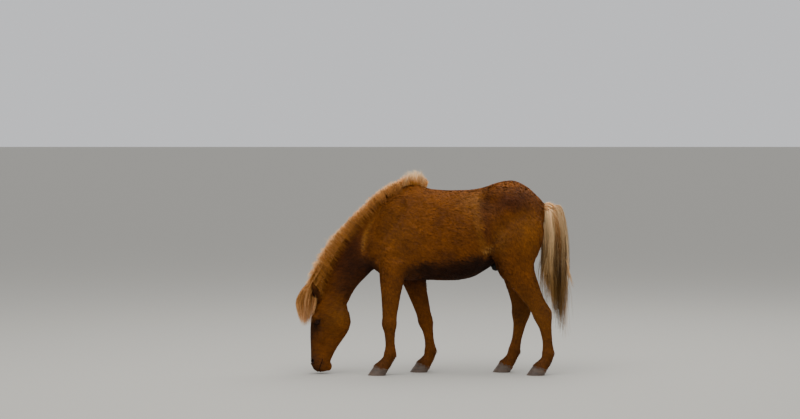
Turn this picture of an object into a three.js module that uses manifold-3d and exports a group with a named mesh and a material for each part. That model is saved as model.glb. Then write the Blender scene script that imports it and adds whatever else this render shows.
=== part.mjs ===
// Icelandic horse grazing: a life-size standing model, 1.40 m high at the withers.
// Millimetres, +Z up. The horse faces -X, so its left side is at -Y, and its soles are at Z 0.
import * as THREE from 'three';
import { mergeVertices } from 'three/addons/utils/BufferGeometryUtils.js';
import Module from 'manifold-3d';

const wasm = await Module();
wasm.setup();

// Air left between two neighbouring parts, and how far hair stays off a part it passes.
const GAP = 0.3;
const CLEAR = 0.4;

// Corners nearer than this are one corner.
const WELD = 2e-3;

// Heights of the cuts across the legs.
const FORELEG_TOP = 655;
const FORELEG_KNEE_CUT = 322;
const HINDLEG_TOP = 690;
const HINDLEG_HOCK_CUT = 352;

// Eyes, set in the sides of the head.
const EYE_RADIUS = 21;
const EYE_CENTRE = { x: -849, y: 80, z: 384 };

// Every section of a form is one row: its front or upper end (x, z), its rear or lower end (x, z),
// its half width, where along the line between the ends it is widest, how full the two halves are
// (2 is round, more is squarer, less is sharper) and its side shift.
const TORSO = [
  [-452, 1080, -452, 830, 60, 0.5, 2, 2, 0],
  [-430, 1180, -440, 778, 118, 0.55, 2, 2, 0],
  [-370, 1275, -390, 735, 152, 0.55, 2, 2.1, 0],
  [-285, 1352, -300, 702, 176, 0.55, 1.8, 2.2, 0],
  [-190, 1390, -205, 688, 188, 0.56, 1.6, 2.3, 0],
  [-110, 1394, -120, 688, 198, 0.56, 1.7, 2.4, 0],
  [-20, 1366, -22, 692, 218, 0.54, 2, 2.4, 0],
  [80, 1355, 80, 690, 250, 0.53, 2.1, 2.3, 0],
  [180, 1354, 180, 693, 276, 0.53, 2.2, 2.2, 0],
  [280, 1358, 285, 714, 276, 0.52, 2.2, 2.1, 0],
  [370, 1374, 380, 764, 256, 0.48, 2.2, 2.1, 0],
  [450, 1402, 455, 815, 238, 0.4, 2.1, 2, 0],
  [530, 1422, 535, 850, 234, 0.34, 2, 2, 0],
  [600, 1422, 610, 875, 222, 0.36, 1.9, 2, 0],
  [680, 1385, 690, 915, 196, 0.4, 1.9, 2, 0],
  [745, 1330, 750, 965, 160, 0.45, 2, 2, 0],
  [795, 1278, 795, 1040, 105, 0.5, 2, 2, 0],
  [815, 1240, 815, 1110, 45, 0.5, 2, 2, 0],
];

const NECK = [
  [-150, 1385, -300, 800, 120, 0.5, 1.8, 2, 0],
  [-255, 1368, -395, 785, 138, 0.56, 1.7, 2.1, 0],
  [-370, 1300, -452, 752, 128, 0.58, 1.7, 2.1, 0],
  [-470, 1208, -500, 708, 112, 0.58, 1.7, 2.1, 0],
  [-560, 1118, -545, 662, 97, 0.58, 1.7, 2.1, 0],
  [-640, 1015, -582, 614, 86, 0.56, 1.7, 2.1, 0],
  [-712, 905, -610, 566, 78, 0.55, 1.7, 2, 0],
  [-768, 792, -630, 520, 74, 0.52, 1.8, 2, 0],
  [-805, 690, -645, 490, 74, 0.5, 1.9, 2, 0],
  [-824, 610, -655, 462, 72, 0.48, 2, 2, 0],
  [-835, 555, -668, 438, 66, 0.48, 2, 2, 0],
];

const HEAD = [
  [-800, 612, -690, 590, 40, 0.5, 2, 2, 0],
  [-828, 590, -655, 535, 68, 0.4, 2.2, 2, 0],
  [-858, 532, -630, 482, 82, 0.35, 2.4, 2, 0],
  [-880, 478, -614, 430, 92, 0.3, 2.6, 2, 0],
  [-893, 425, -609, 380, 97, 0.27, 2.8, 2, 0],
  [-900, 370, -618, 330, 94, 0.28, 2.8, 2, 0],
  [-903, 312, -645, 282, 78, 0.34, 2.6, 2.1, 0],
  [-903, 255, -680, 232, 64, 0.42, 2.5, 2.2, 0],
  [-902, 200, -712, 184, 56, 0.46, 2.4, 2.3, 0],
  [-901, 150, -735, 138, 52, 0.46, 2.3, 2.3, 0],
  [-901, 105, -752, 98, 54, 0.4, 2.3, 2.3, 0],
  [-897, 68, -757, 62, 54, 0.38, 2.3, 2.3, 0],
  [-884, 38, -768, 34, 47, 0.42, 2.3, 2.2, 0],
  [-866, 22, -786, 20, 32, 0.45, 2.2, 2.2, 0],
  [-848, 15, -806, 15, 12, 0.5, 2, 2, 0],
];

// The fleshy core of the tail, which the hair grows from.
const DOCK = [
  [806, 1196, 812, 1262, 30, 0.5, 2, 2, 0],
  [838, 1192, 868, 1240, 34, 0.5, 2, 2, 0],
  [862, 1140, 918, 1160, 32, 0.5, 2, 2, 0],
  [872, 1030, 922, 1030, 27, 0.5, 2, 2, 0],
  [880, 920, 916, 920, 19, 0.5, 2, 2, 0],
  [892, 830, 906, 830, 7, 0.5, 2, 2, 0],
];

// The crest of the neck (x, z), from the withers to the poll, where the mane is rooted.
const CREST = [
  [-58, 1366], [-150, 1386], [-255, 1364], [-370, 1296], [-470, 1204], [-560, 1113], [-640, 1010], [-712, 900],
  [-768, 788], [-806, 690], [-822, 628],
];

// The mane: locks on each side of the parting, and how they lie.
const MANE = {
  side: 20,
  middle: 11,
  width: 74,
  thick: 12,
  rise: 50,
  pollRise: 30,
  tuftRise: 86,
  tuftAt: -118,
  tuftSpread: 62,
  hang: 84,
  root: 30,
};
const FORELOCK = { layers: [6, 5, 3], width: 58, thick: 13, halfSpread: 72 };
const TAIL = { layers: [12, 8, 4], width: 64, thick: 13, halfSpread: 100, longest: 287 };

// An ear stands on its base at the origin, with its cup open towards -X.
const EAR_OUTSIDE = [
  [-17, -22, 17, -22, 16, 0.5, 2, 2, 0],
  [-21, 0, 21, 0, 20, 0.5, 2, 2, 0],
  [-24, 30, 23, 30, 25, 0.5, 2, 2, 0],
  [-22, 66, 22, 66, 26, 0.5, 2, 2, 0],
  [-16, 96, 17, 96, 19, 0.5, 2, 2, 0],
  [-6, 120, 10, 120, 9, 0.5, 2, 2, 0],
  [1, 134, 6, 134, 2, 0.5, 2, 2, 0],
];
const EAR_CUP = [
  [-30, 14, -10, 14, 4, 0.5, 2, 2, 0],
  [-40, 36, 4, 36, 15, 0.5, 2, 2, 0],
  [-40, 68, 9, 68, 19, 0.5, 2, 2, 0],
  [-34, 96, 5, 96, 13, 0.5, 2, 2, 0],
  [-20, 119, 0, 119, 4, 0.5, 2, 2, 0],
];

// A limb's joints are (x, z, side shift); its stations are the place along the joints, how far the
// flesh reaches to the front and to the rear, its half width, and how full the two halves are.
const FORE_STATIONS = [
  [0, 100, 120, 62, 2.2, 2.2],
  [0.6, 102, 112, 64, 2.2, 2.2],
  [1, 92, 92, 60, 2.2, 2.1],
  [1.3, 78, 76, 52, 2.2, 2],
  [1.6, 64, 64, 46, 2.2, 2],
  [1.85, 55, 54, 42, 2.4, 2],
  [2, 57, 55, 44, 2.6, 2.2],
  [2.12, 54, 54, 41, 2.5, 2.1],
  [2.3, 40, 44, 32, 2.3, 2.1],
  [2.6, 35, 38, 28, 2.2, 2.2],
  [2.85, 38, 44, 31, 2.2, 2.2],
  [3, 42, 50, 36, 2.2, 2.2],
  [3.3, 38, 46, 34, 2.2, 2.2],
  [3.65, 42, 48, 40, 2.2, 2.2],
];
const HIND_STATIONS = [
  [0, 200, 130, 78, 2, 2.1],
  [0.5, 252, 170, 104, 2, 2.1],
  [1, 240, 180, 118, 2, 2.1],
  [1.5, 205, 162, 112, 2.1, 2.1],
  [2, 142, 130, 90, 2.1, 2.1],
  [2.25, 110, 104, 74, 2.1, 2],
  [2.5, 88, 82, 60, 2.2, 1.9],
  [2.75, 70, 66, 48, 2.3, 1.8],
  [2.9, 66, 72, 45, 2.4, 1.8],
  [3, 66, 78, 46, 2.5, 1.8],
  [3.12, 60, 68, 44, 2.5, 1.9],
  [3.3, 46, 50, 36, 2.4, 2],
  [3.6, 37, 40, 30, 2.2, 2.2],
  [3.85, 38, 44, 32, 2.2, 2.2],
  [4, 42, 50, 37, 2.2, 2.2],
  [4.3, 38, 46, 35, 2.2, 2.2],
  [4.65, 42, 48, 40, 2.2, 2.2],
];
const LIMBS = [
  {
    name: 'foreleg_left',
    stations: FORE_STATIONS,
    joints: [[-285, 930, -118], [-300, 720, -124], [-320, 390, -122], [-320, 162, -120], [-376, 62, -118]],
  },
  {
    name: 'foreleg_right',
    stations: FORE_STATIONS,
    joints: [[-200, 930, 118], [-150, 720, 124], [-56, 390, 122], [-22, 162, 120], [-66, 62, 118]],
  },
  {
    name: 'hindleg_left',
    stations: HIND_STATIONS,
    joints: [
      [620, 1215, -112], [622, 1020, -130], [612, 800, -134], [792, 446, -118], [836, 168, -116], [786, 62, -116],
    ],
  },
  {
    name: 'hindleg_right',
    stations: HIND_STATIONS,
    joints: [
      [620, 1215, 112], [622, 1020, 130], [622, 800, 134], [650, 446, 118], [602, 168, 116], [548, 62, 116],
    ],
  },
];

// A hoof, measured from the middle of its coronet: toe and heel at the sole and at the coronet.
const HOOF = {
  toe: -105,
  heel: 26,
  halfWidth: 60,
  coronetToe: -50,
  coronetToeHeight: 78,
  coronetHeel: 48,
  coronetHeelHeight: 44,
  coronetHalfWidth: 48,
  edge: 4,
};

// The cut between neck and torso runs under the withers and down in front of the shoulder blade.
const SHOULDER_LINE = [
  [-20, 1800], [-20, 1374], [-130, 1352], [-300, 1300], [-420, 1170], [-500, 1020], [-505, 880], [-462, 775],
  [-462, -100],
];
// The cut between head and neck runs from behind the ears to the throat.
const POLL_LINE = [[-1500, 668], [-900, 668], [-806, 640], [-500, 378]];

const COAT = { color: 0x7a420f, roughness: 0.85, metalness: 0 };
const MANE_HAIR = { color: 0xb98348, roughness: 0.8, metalness: 0 };
const HORN = { color: 0x3a2c22, roughness: 0.55, metalness: 0 };
const DARK_SKIN = { color: 0x17110f, roughness: 0.6, metalness: 0 };
const EYE = { color: 0x140b07, roughness: 0.08, metalness: 0 };

function spline(a, b, c, d, t) {
  return 0.5 * (2 * b + (c - a) * t + (2 * a - 5 * b + 4 * c - d) * t * t + (3 * b - a - 3 * c + d) * t ** 3);
}

// Puts `steps` smooth sections in place of each step from one row to the next.
function refine(rows, steps) {
  const fine = [];
  for (let i = 0; i < rows.length - 1; i++) {
    const [a, b, c, d] = [rows[Math.max(i - 1, 0)], rows[i], rows[i + 1], rows[Math.min(i + 2, rows.length - 1)]];
    for (let s = 0; s < steps; s++) {
      fine.push(b.map((value, j) => spline(a[j], value, c[j], d[j], s / steps)));
    }
  }
  fine.push(rows[rows.length - 1]);
  return fine;
}

// The points of one section; `grow` makes it larger all round.
function ring([ax, az, bx, bz, width, widest, fullA, fullB, shift], count, grow) {
  const length = Math.hypot(bx - ax, bz - az);
  const ux = (bx - ax) / length;
  const uz = (bz - az) / length;
  const points = [];
  for (let i = 0; i < count; i++) {
    const c = Math.cos((2 * Math.PI * i) / count);
    const s = Math.sin((2 * Math.PI * i) / count);
    const power = 2 / (c > 0 ? fullA : fullB);
    const reach = (c > 0 ? widest : 1 - widest) * length + grow;
    const along = widest * length - Math.sign(c) * reach * Math.abs(c) ** power;
    const side = Math.sign(s) * (width + grow) * Math.abs(s) ** power;
    points.push(ax + ux * along, shift + side, az + uz * along);
  }
  return points;
}

// A closed skin through rings of equally many points, with a flat end at both sides.
function skin(rings) {
  const count = rings[0].length / 3;
  const index = [];
  for (let r = 0; r < rings.length - 1; r++) {
    for (let i = 0; i < count; i++) {
      const a = r * count + i;
      const b = r * count + ((i + 1) % count);
      index.push(a, b, b + count, a, b + count, a + count);
    }
  }
  const last = (rings.length - 1) * count;
  for (let i = 1; i < count - 1; i++) {
    index.push(0, i + 1, i);
    index.push(last, last + i, last + i + 1);
  }
  const geometry = new THREE.BufferGeometry();
  geometry.setAttribute('position', new THREE.Float32BufferAttribute(rings.flat(), 3));
  geometry.setIndex(index);
  return geometry;
}

function loft(rows, { count = 16, steps = 1, grow = 0 } = {}) {
  return solid(skin(refine(rows, steps).map((row) => ring(row, count, grow))));
}

// The closed body of a geometry, turned to face outwards.
function solid(geometry, weld = 1e-4) {
  const bare = geometry.clone();
  bare.deleteAttribute('normal');
  bare.deleteAttribute('uv');
  const merged = mergeVertices(bare, weld);
  const corners = Array.from(merged.index.array);
  const triangles = Uint32Array.from(
    corners.filter((_, i) => new Set(corners.slice(i - (i % 3), i - (i % 3) + 3)).size === 3),
  );
  const p = merged.attributes.position.array;
  if (signedVolume(p, triangles) < 0) {
    for (let i = 0; i < triangles.length; i += 3) {
      [triangles[i + 1], triangles[i + 2]] = [triangles[i + 2], triangles[i + 1]];
    }
  }
  return new wasm.Manifold(
    new wasm.Mesh({ numProp: 3, vertProperties: Float32Array.from(p), triVerts: triangles }),
  );
}

function signedVolume(p, triangles) {
  let sum = 0;
  for (let i = 0; i < triangles.length; i += 3) {
    const [a, b, c] = [3 * triangles[i], 3 * triangles[i + 1], 3 * triangles[i + 2]];
    sum += p[a] * (p[b + 1] * p[c + 2] - p[b + 2] * p[c + 1]);
    sum += p[a + 1] * (p[b + 2] * p[c] - p[b] * p[c + 2]);
    sum += p[a + 2] * (p[b] * p[c + 1] - p[b + 1] * p[c]);
  }
  return sum;
}

// An egg-shaped swelling or hollow, leaning by `turn` in the side view (radians).
function egg([x, y, z], [rx, ry, rz], { turn = 0, yaw = 0, grow = 0, across = 10, down = 7 } = {}) {
  const geometry = new THREE.SphereGeometry(1, across, down);
  geometry.scale(rx + grow, ry + grow, rz + grow);
  geometry.rotateY(turn);
  geometry.rotateZ(yaw);
  geometry.translate(x, y, z);
  return solid(geometry);
}

// A block with the given outline in the side view, from side to side.
function block(outline, nearY = -600, farY = 600) {
  const shape = new THREE.Shape(outline.map(([x, z]) => new THREE.Vector2(x, z)));
  const geometry = new THREE.ExtrudeGeometry(shape, { depth: farY - nearY, bevelEnabled: false });
  geometry.rotateX(Math.PI / 2);
  geometry.translate(0, farY, 0);
  return solid(geometry);
}

const join = (bodies) => bodies.reduce((sum, body) => sum.add(body));

// The largest closed body of a shape: crumbs and pinched-off pockets that a cut leaves are dropped.
function largest(body) {
  const larger = (best, piece) => (piece.volume() > best.volume() ? piece : best);
  const biggest = (shape) => shape.decompose().reduce(larger);
  return biggest(solid(shell(biggest(body)), WELD));
}

function shell(body) {
  const mesh = body.getMesh();
  const geometry = new THREE.BufferGeometry();
  geometry.setAttribute('position', new THREE.Float32BufferAttribute(mesh.vertProperties, 3));
  geometry.setIndex(Array.from(mesh.triVerts));
  return geometry;
}

function limbRows({ joints, stations }) {
  return stations.map(([place, front, rear, width, fullFront, fullRear]) => {
    const i = Math.min(Math.floor(place), joints.length - 2);
    const corners = [Math.max(i - 1, 0), i, i + 1, Math.min(i + 2, joints.length - 1)].map((j) => joints[j]);
    const at = (t) => corners[0].map((_, j) => spline(...corners.map((corner) => corner[j]), t));
    const here = at(place - i);
    const ahead = at(place - i + 0.01);
    const length = Math.hypot(ahead[0] - here[0], ahead[1] - here[1]);
    const fx = (ahead[1] - here[1]) / length;
    const fz = -(ahead[0] - here[0]) / length;
    return [
      here[0] + fx * front, here[1] + fz * front, here[0] - fx * rear, here[1] - fz * rear,
      width, front / (front + rear), fullFront, fullRear, here[2],
    ];
  });
}

function coronetRow({ joints }, lift) {
  const [x, , y] = joints[joints.length - 1];
  const width = HOOF.coronetHalfWidth;
  return [
    x + HOOF.coronetToe, HOOF.coronetToeHeight + lift, x + HOOF.coronetHeel, HOOF.coronetHeelHeight + lift,
    width, 0.5, 2.2, 2.4, y,
  ];
}

function limb(leg, grow) {
  return loft([...limbRows(leg), coronetRow(leg, GAP * 1.1)], { count: 14, grow });
}

function hoof(leg) {
  const [x, , y] = leg.joints[leg.joints.length - 1];
  const sole = (inset, z) => [
    x + HOOF.toe + inset, z, x + HOOF.heel - inset, z, HOOF.halfWidth - inset, 0.55, 2.2, 2.8, y,
  ];
  return loft([sole(HOOF.edge, 0), sole(0, HOOF.edge), coronetRow(leg, 0)], { count: 20 });
}

// Muscles that stand out on the sides of the body: middle, radii and lean.
const MUSCLES = [
  [[-318, 92, 1105], [118, 73, 225], 0.42],
  [[-425, 60, 945], [98, 78, 130], 0.1],
  [[-235, 118, 915], [130, 68, 175], -0.5],
  [[-392, 58, 846], [78, 66, 92], 0],
  [[452, 142, 1290], [125, 72, 100], 0],
];

function flesh(grow) {
  const forms = [
    loft(TORSO, { count: 22, grow }),
    loft(NECK, { count: 18, grow }),
    headForm(grow),
    ...LIMBS.map((leg) => limb(leg, grow)),
  ];
  for (const side of [-1, 1]) {
    for (const [[x, y, z], radii, turn] of MUSCLES) {
      forms.push(egg([x, side * y, z], radii, { turn, grow }));
    }
  }
  return join(forms);
}

function headForm(grow) {
  const forms = [loft(HEAD, { count: 20, grow })];
  for (const side of [-1, 1]) {
    // The round cheek, the ridge below the eye, the rim round the eye, the brow and the nostril.
    forms.push(egg([-694, side * 42, 396], [92, 44, 100], { grow }));
    forms.push(egg([-822, side * 58, 314], [26, 27, 96], { turn: -0.15, grow }));
    forms.push(egg([EYE_CENTRE.x, side * 78, EYE_CENTRE.z + 3], [38, 27, 33], { grow }));
    forms.push(egg([-860, side * 72, 416], [34, 26, 24], { turn: 0.4, grow }));
    forms.push(egg([-876, side * 36, 92], [24, 24, 40], { turn: 0.15, grow }));
  }
  // The lower lip and the chin.
  forms.push(egg([-776, 0, 56], [32, 34, 38], { grow }));
  return join(forms);
}

// Hollows of the head: eye sockets with almond openings, nostrils and the line of the mouth.
function headHollows() {
  const cuts = [];
  for (const side of [-1, 1]) {
    const { x, y, z } = EYE_CENTRE;
    cuts.push(egg([x, side * y, z], [EYE_RADIUS, EYE_RADIUS, EYE_RADIUS], { grow: GAP, across: 16, down: 10 }));
    cuts.push(egg([x - 1, side * (y + 26), z - 1], [20, 18, 12.5], { turn: 0.25 }));
    cuts.push(egg([-890, side * 50, 88], [9, 15, 20], { turn: 0.35 }));
    cuts.push(egg([-880, side * 52, 108], [8, 13, 13], { turn: 0.6 }));
  }
  // The line of the mouth runs up from the lips to its corners and is a groove, not a slot.
  for (const side of [-1, 1]) {
    const line = [[-838, 24], [-827, 62], [-812, 112], [-808, 112], [-822, 61], [-833, 24]];
    cuts.push(block(line, Math.min(side * 36, side * 90), Math.max(side * 36, side * 90)));
  }
  cuts.push(block([[-839, -10], [-838, 25], [-833, 25], [-834, -10]], -90, 90));
  return join(cuts);
}

// A flat, tapered lock of hair, ridged along its outer face, that bends along its path; its width
// lies along `across`.
function lock({ path, width, thick, across }) {
  const rings = path.map((point, i) => {
    const along = path[Math.min(i + 1, path.length - 1)].clone().sub(path[Math.max(i - 1, 0)]).normalize();
    const aside = across.clone().addScaledVector(along, -across.dot(along)).normalize();
    const outer = new THREE.Vector3().crossVectors(aside, along);
    const place = i / (path.length - 1);
    const taper = place === 1 ? 0.1 : Math.sin(Math.PI * (0.16 + 0.76 * place)) ** 0.8;
    const corner = (a, b) =>
      point.clone().addScaledVector(aside, (a * taper * width) / 2).addScaledVector(outer, (b * taper * thick) / 2);
    return [corner(1, -0.4), corner(0, 1), corner(-1, -0.4)].flatMap((v) => v.toArray());
  });
  return solid(skin(rings));
}

// The same run of numbers between -1 and 1 each time.
function dice(seed) {
  let state = seed;
  return () => {
    state = (state * 16807) % 2147483647;
    return (2 * state) / 2147483647 - 1;
  };
}

const at = (x, y, z) => new THREE.Vector3(x, y, z);

// Mane locks rise from the crest and fall over to both sides; on the withers they stand up in a tuft.
function maneLocks() {
  const roll = dice(19);
  const crest = new THREE.CatmullRomCurve3(CREST.map(([x, z]) => at(x, 0, z)));
  const locks = [];
  const place = (u) => {
    const root = crest.getPointAt(u);
    const along = crest.getTangentAt(u);
    return { root, along, out: at(along.z, 0, -along.x) };
  };
  const tuft = (x) => Math.exp(-(((x - MANE.tuftAt) / MANE.tuftSpread) ** 2));
  for (const side of [-1, 1]) {
    for (let i = 0; i < MANE.side; i++) {
      const u = (i + 0.5 + 0.25 * roll()) / MANE.side;
      const { root, along, out } = place(u);
      const stand = tuft(root.x);
      const lift = (MANE.rise + MANE.pollRise * u ** 3) * (1 + 0.12 * roll());
      const rise = lift + (MANE.tuftRise - MANE.rise) * stand;
      const hang = MANE.hang * (1 + 0.22 * roll()) * (1 - 0.75 * stand) * (0.55 + 0.45 * Math.min(1, u * 5));
      const sway = 16 + 14 * roll() - 40 * stand + 52 * u ** 6;
      const step = (o, s, a) =>
        root.clone().addScaledVector(out, o).addScaledVector(along, a).add(at(0, side * s, 0));
      locks.push({
        path: [
          step(-MANE.root, 8, 0),
          step(rise * 0.98, 18 - 4 * stand, sway * 0.3),
          step(rise * 0.7 + 20 * stand, 46 - 18 * stand, sway * 0.6),
          step(-hang * 0.35 + rise * 0.85 * stand, 72 - 34 * stand, sway),
          step(-hang + 1.75 * rise * stand, 84 - 52 * stand, sway * 1.3),
        ],
        width: MANE.width * (1 + 0.15 * roll()),
        thick: MANE.thick,
        across: along.clone().multiplyScalar(-side),
      });
    }
  }
  for (let i = 0; i < MANE.middle; i++) {
    const u = (i + 0.5 + 0.3 * roll()) / MANE.middle;
    const { root, along, out } = place(u);
    const stand = tuft(root.x);
    const lift = (MANE.rise + MANE.pollRise * u ** 3) * (1.1 + 0.1 * roll());
    const rise = lift + (MANE.tuftRise - MANE.rise) * stand;
    const lean = 10 * roll();
    const sway = 22 + 14 * roll() - 52 * stand + 40 * u ** 6;
    const step = (o, s, a) => root.clone().addScaledVector(out, o).addScaledVector(along, a).add(at(0, s, 0));
    locks.push({
      path: [
        step(-MANE.root, 0, 0), step(10, 0, 0), step(rise * 0.7, lean * 0.5, sway * 0.4), step(rise, lean, sway),
      ],
      width: MANE.width * 0.95,
      thick: MANE.thick * 1.6,
      across: along,
    });
  }
  return locks;
}

// Forelock locks start between the ears, arch forward and hang in front of the face, in layers.
function forelockLocks() {
  const roll = dice(23);
  const locks = [];
  FORELOCK.layers.forEach((count, layer) => {
    const inner = layer / (FORELOCK.layers.length - 1);
    for (let i = 0; i < count; i++) {
      const spread = ((i + 0.5) / count) * 2 - 1 + 0.06 * roll();
      const y = FORELOCK.halfSpread * spread * (1 - 0.15 * inner);
      const round = Math.sqrt(Math.max(0, 1 - 0.75 * spread * spread));
      const reach = (40 + 58 * round) * (1 - 0.7 * inner) - 9 * (i % 2);
      const tip = 376 + 46 * (1 - round) + 26 * inner + 12 * roll();
      locks.push({
        path: [
          at(-815, y * 0.45 + 3 * roll(), 600 - 26 * inner + 5 * roll()),
          at(-884 - reach * 0.3, y * 0.7 + 4 * roll(), 650 - 38 * inner - 24 * (1 - round) + 5 * roll()),
          at(-903 - reach, y, 552 - 10 * (i % 2)),
          at(-903 - reach * 0.95, y * 1.03, 455),
          at(-912 - reach * 0.45, y * 0.9, tip),
        ],
        width: FORELOCK.width * (1 + 0.12 * roll()),
        thick: FORELOCK.thick,
        across: at(0.5 * spread, 1, 0).normalize(),
      });
    }
  });
  return locks;
}

// Tail locks leave the dock all round, swell out and hang down; those nearer the thighs end higher.
function tailLocks() {
  const roll = dice(45);
  const locks = [];
  TAIL.layers.forEach((count, layer) => {
    const low = layer / (TAIL.layers.length - 1);
    for (let i = 0; i < count; i++) {
      const out = 1 - 0.62 * low - 0.11 * (i % 2);
      const turn = ((i + 0.5 * (layer % 2) + 0.18 * roll()) / count) * 2 * Math.PI;
      const back = Math.cos(turn) * out;
      const aside = Math.sin(turn) * out;
      const wide = TAIL.halfSpread;
      const tipX = 893 + 96 * back + 14 * (1 - back) + 8 * roll();
      const tipZ = TAIL.longest + Math.max(0, 985 - tipX) * 2.35 + 26 * roll();
      locks.push({
        path: [
          at(
            846 + 34 * low + 16 * back, aside * 16 + 2 * roll(), 1216 - 110 * low - 10 * (i % 3) + 3 * roll(),
          ),
          at(874 + 70 * back, wide * 0.8 * aside, 1196 - 95 * low + 34 * back),
          at(895 + 98 * back, wide * aside, 900 - 30 * low),
          at((895 + 98 * back) * 0.45 + tipX * 0.55 + 5 * back, wide * 0.82 * aside, 405 + tipZ * 0.55),
          at(tipX, wide * 0.42 * aside + 5 * roll(), tipZ),
        ],
        width: TAIL.width * (1 + 0.15 * roll()),
        thick: TAIL.thick,
        across: at(Math.sin(turn), -Math.cos(turn), 0),
      });
    }
  });
  // Three locks cover the root of the tail from above.
  for (const k of [-1, 0, 1]) {
    locks.push({
      path: [
        at(822, 10 * k, 1214), at(864, 25 * k, 1256), at(926, 42 * k, 1234), at(968, 52 * k, 1135), at(990, 46 * k, 860),
      ],
      width: TAIL.width,
      thick: TAIL.thick * 1.3,
      across: at(0.3 * k, -1, 0).normalize(),
    });
  }
  return locks;
}

const hair = (locks) => join(locks.map(lock));

function ear(side, grow = 0) {
  const outside = loft(EAR_OUTSIDE, { count: 14, grow });
  const cupped = grow ? outside : outside.subtract(loft(EAR_CUP, { count: 12 }));
  // The cup turns outwards, then the ear leans out and forward from its base.
  return cupped.rotate([0, 0, side * 62]).rotate([-side * 12, -22, 0]).translate([-838, side * 50, 548]);
}

function node(name, body, look) {
  const geometry = shell(body);
  geometry.computeVertexNormals();
  const part = new THREE.Mesh(geometry, new THREE.MeshStandardMaterial(look));
  part.name = name;
  return part;
}

const group = new THREE.Group();

// Space of the neck and the head, each kept a little off its neighbour's cut face.
const forward = (line, shift) => line.map(([x, z]) => [x - shift, z]);
const aheadOfShoulder = (shift) =>
  block([...forward(SHOULDER_LINE, shift), [-1600, -100], [-1600, 1800]]);
const belowPoll = (shift) =>
  block([...POLL_LINE.map(([x, z]) => [x, z - shift]), [-500, -100], [-1500, -100]]);

const body = flesh(0);
const bodyGrown = flesh(CLEAR);
const ears = [-1, 1].map((side) => ear(side));
const earsGrown = join([-1, 1].map((side) => ear(side, CLEAR)));
const headSpace = aheadOfShoulder(0).intersect(belowPoll(0));
const neckSpace = aheadOfShoulder(GAP * 1.3).subtract(belowPoll(-GAP * 1.4));
const mane = hair(maneLocks()).subtract(bodyGrown.subtract(neckSpace)).subtract(belowPoll(-GAP * 1.4));

const head = largest(
  body.intersect(headSpace).subtract(headHollows()).add(
    hair(forelockLocks()).intersect(belowPoll(0)).subtract(bodyGrown.intersect(neckSpace)).subtract(earsGrown),
  ),
);
const neck = largest(body.intersect(neckSpace).add(mane));

const trunk = body.subtract(aheadOfShoulder(0));
const aboveLegs = block([
  [-700, 1800], [-700, FORELEG_TOP], [200, FORELEG_TOP], [200, HINDLEG_TOP], [1200, HINDLEG_TOP], [1200, 1800],
]);
const torso = largest(trunk.intersect(aboveLegs));

group.add(node('torso', torso, COAT));
group.add(node('neck', neck, COAT));
group.add(node('head', head, COAT));

for (const [i, side] of [-1, 1].entries()) {
  const label = side < 0 ? 'left' : 'right';
  group.add(node(`ear_${label}`, largest(ears[i].subtract(bodyGrown)), COAT));
  const { x, y, z } = EYE_CENTRE;
  const ball = egg([x, side * y, z], [EYE_RADIUS, EYE_RADIUS, EYE_RADIUS], { across: 16, down: 10 });
  group.add(node(`eye_${label}`, ball, EYE));
}

for (const leg of LIMBS) {
  const fore = leg.name.startsWith('fore');
  const top = (fore ? FORELEG_TOP : HINDLEG_TOP) - GAP;
  const cut = fore ? FORELEG_KNEE_CUT : HINDLEG_HOCK_CUT;
  const nearY = leg.joints[0][2] < 0 ? -600 : 0;
  const reach = fore ? [-700, 200] : [200, 1200];
  const slice = (low, high) =>
    block([[reach[0], low], [reach[1], low], [reach[1], high], [reach[0], high]], nearY, nearY + 600);
  group.add(node(`${leg.name}_${fore ? 'forearm' : 'gaskin'}`, largest(trunk.intersect(slice(cut, top))), COAT));
  group.add(node(`${leg.name}_cannon`, largest(trunk.intersect(slice(-50, cut - GAP))), COAT));
  group.add(node(`${leg.name}_hoof`, hoof(leg), HORN));
}

const tail = loft(DOCK, { count: 10 }).add(hair(tailLocks()));
group.add(node('tail', largest(tail.subtract(bodyGrown)), MANE_HAIR));
const sheath = egg([474, 0, 806], [36, 27, 42], { turn: 0.3 });
group.add(node('sheath', largest(sheath.subtract(bodyGrown)), DARK_SKIN));

// The origin is the middle of the whole model in plan.
const plan = new THREE.Box3().setFromObject(group).getCenter(new THREE.Vector3());
for (const part of group.children) {
  part.geometry.translate(-plan.x, -plan.y, 0);
}

export default group;
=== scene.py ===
# %% [markdown]
# # An Icelandic horse, grazing
# A life-size chestnut horse with a flaxen mane and tail, its head down to graze. The CAD model is
# the fixed frame: it gives every part its place and size. In Blender the body becomes one skin
# without seams, and hair is laid over it as solid mesh. The first cell loads the frame.

import math

import bpy
import numpy as np
from mathutils import Matrix, Vector
from mathutils.bvhtree import BVHTree


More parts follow.
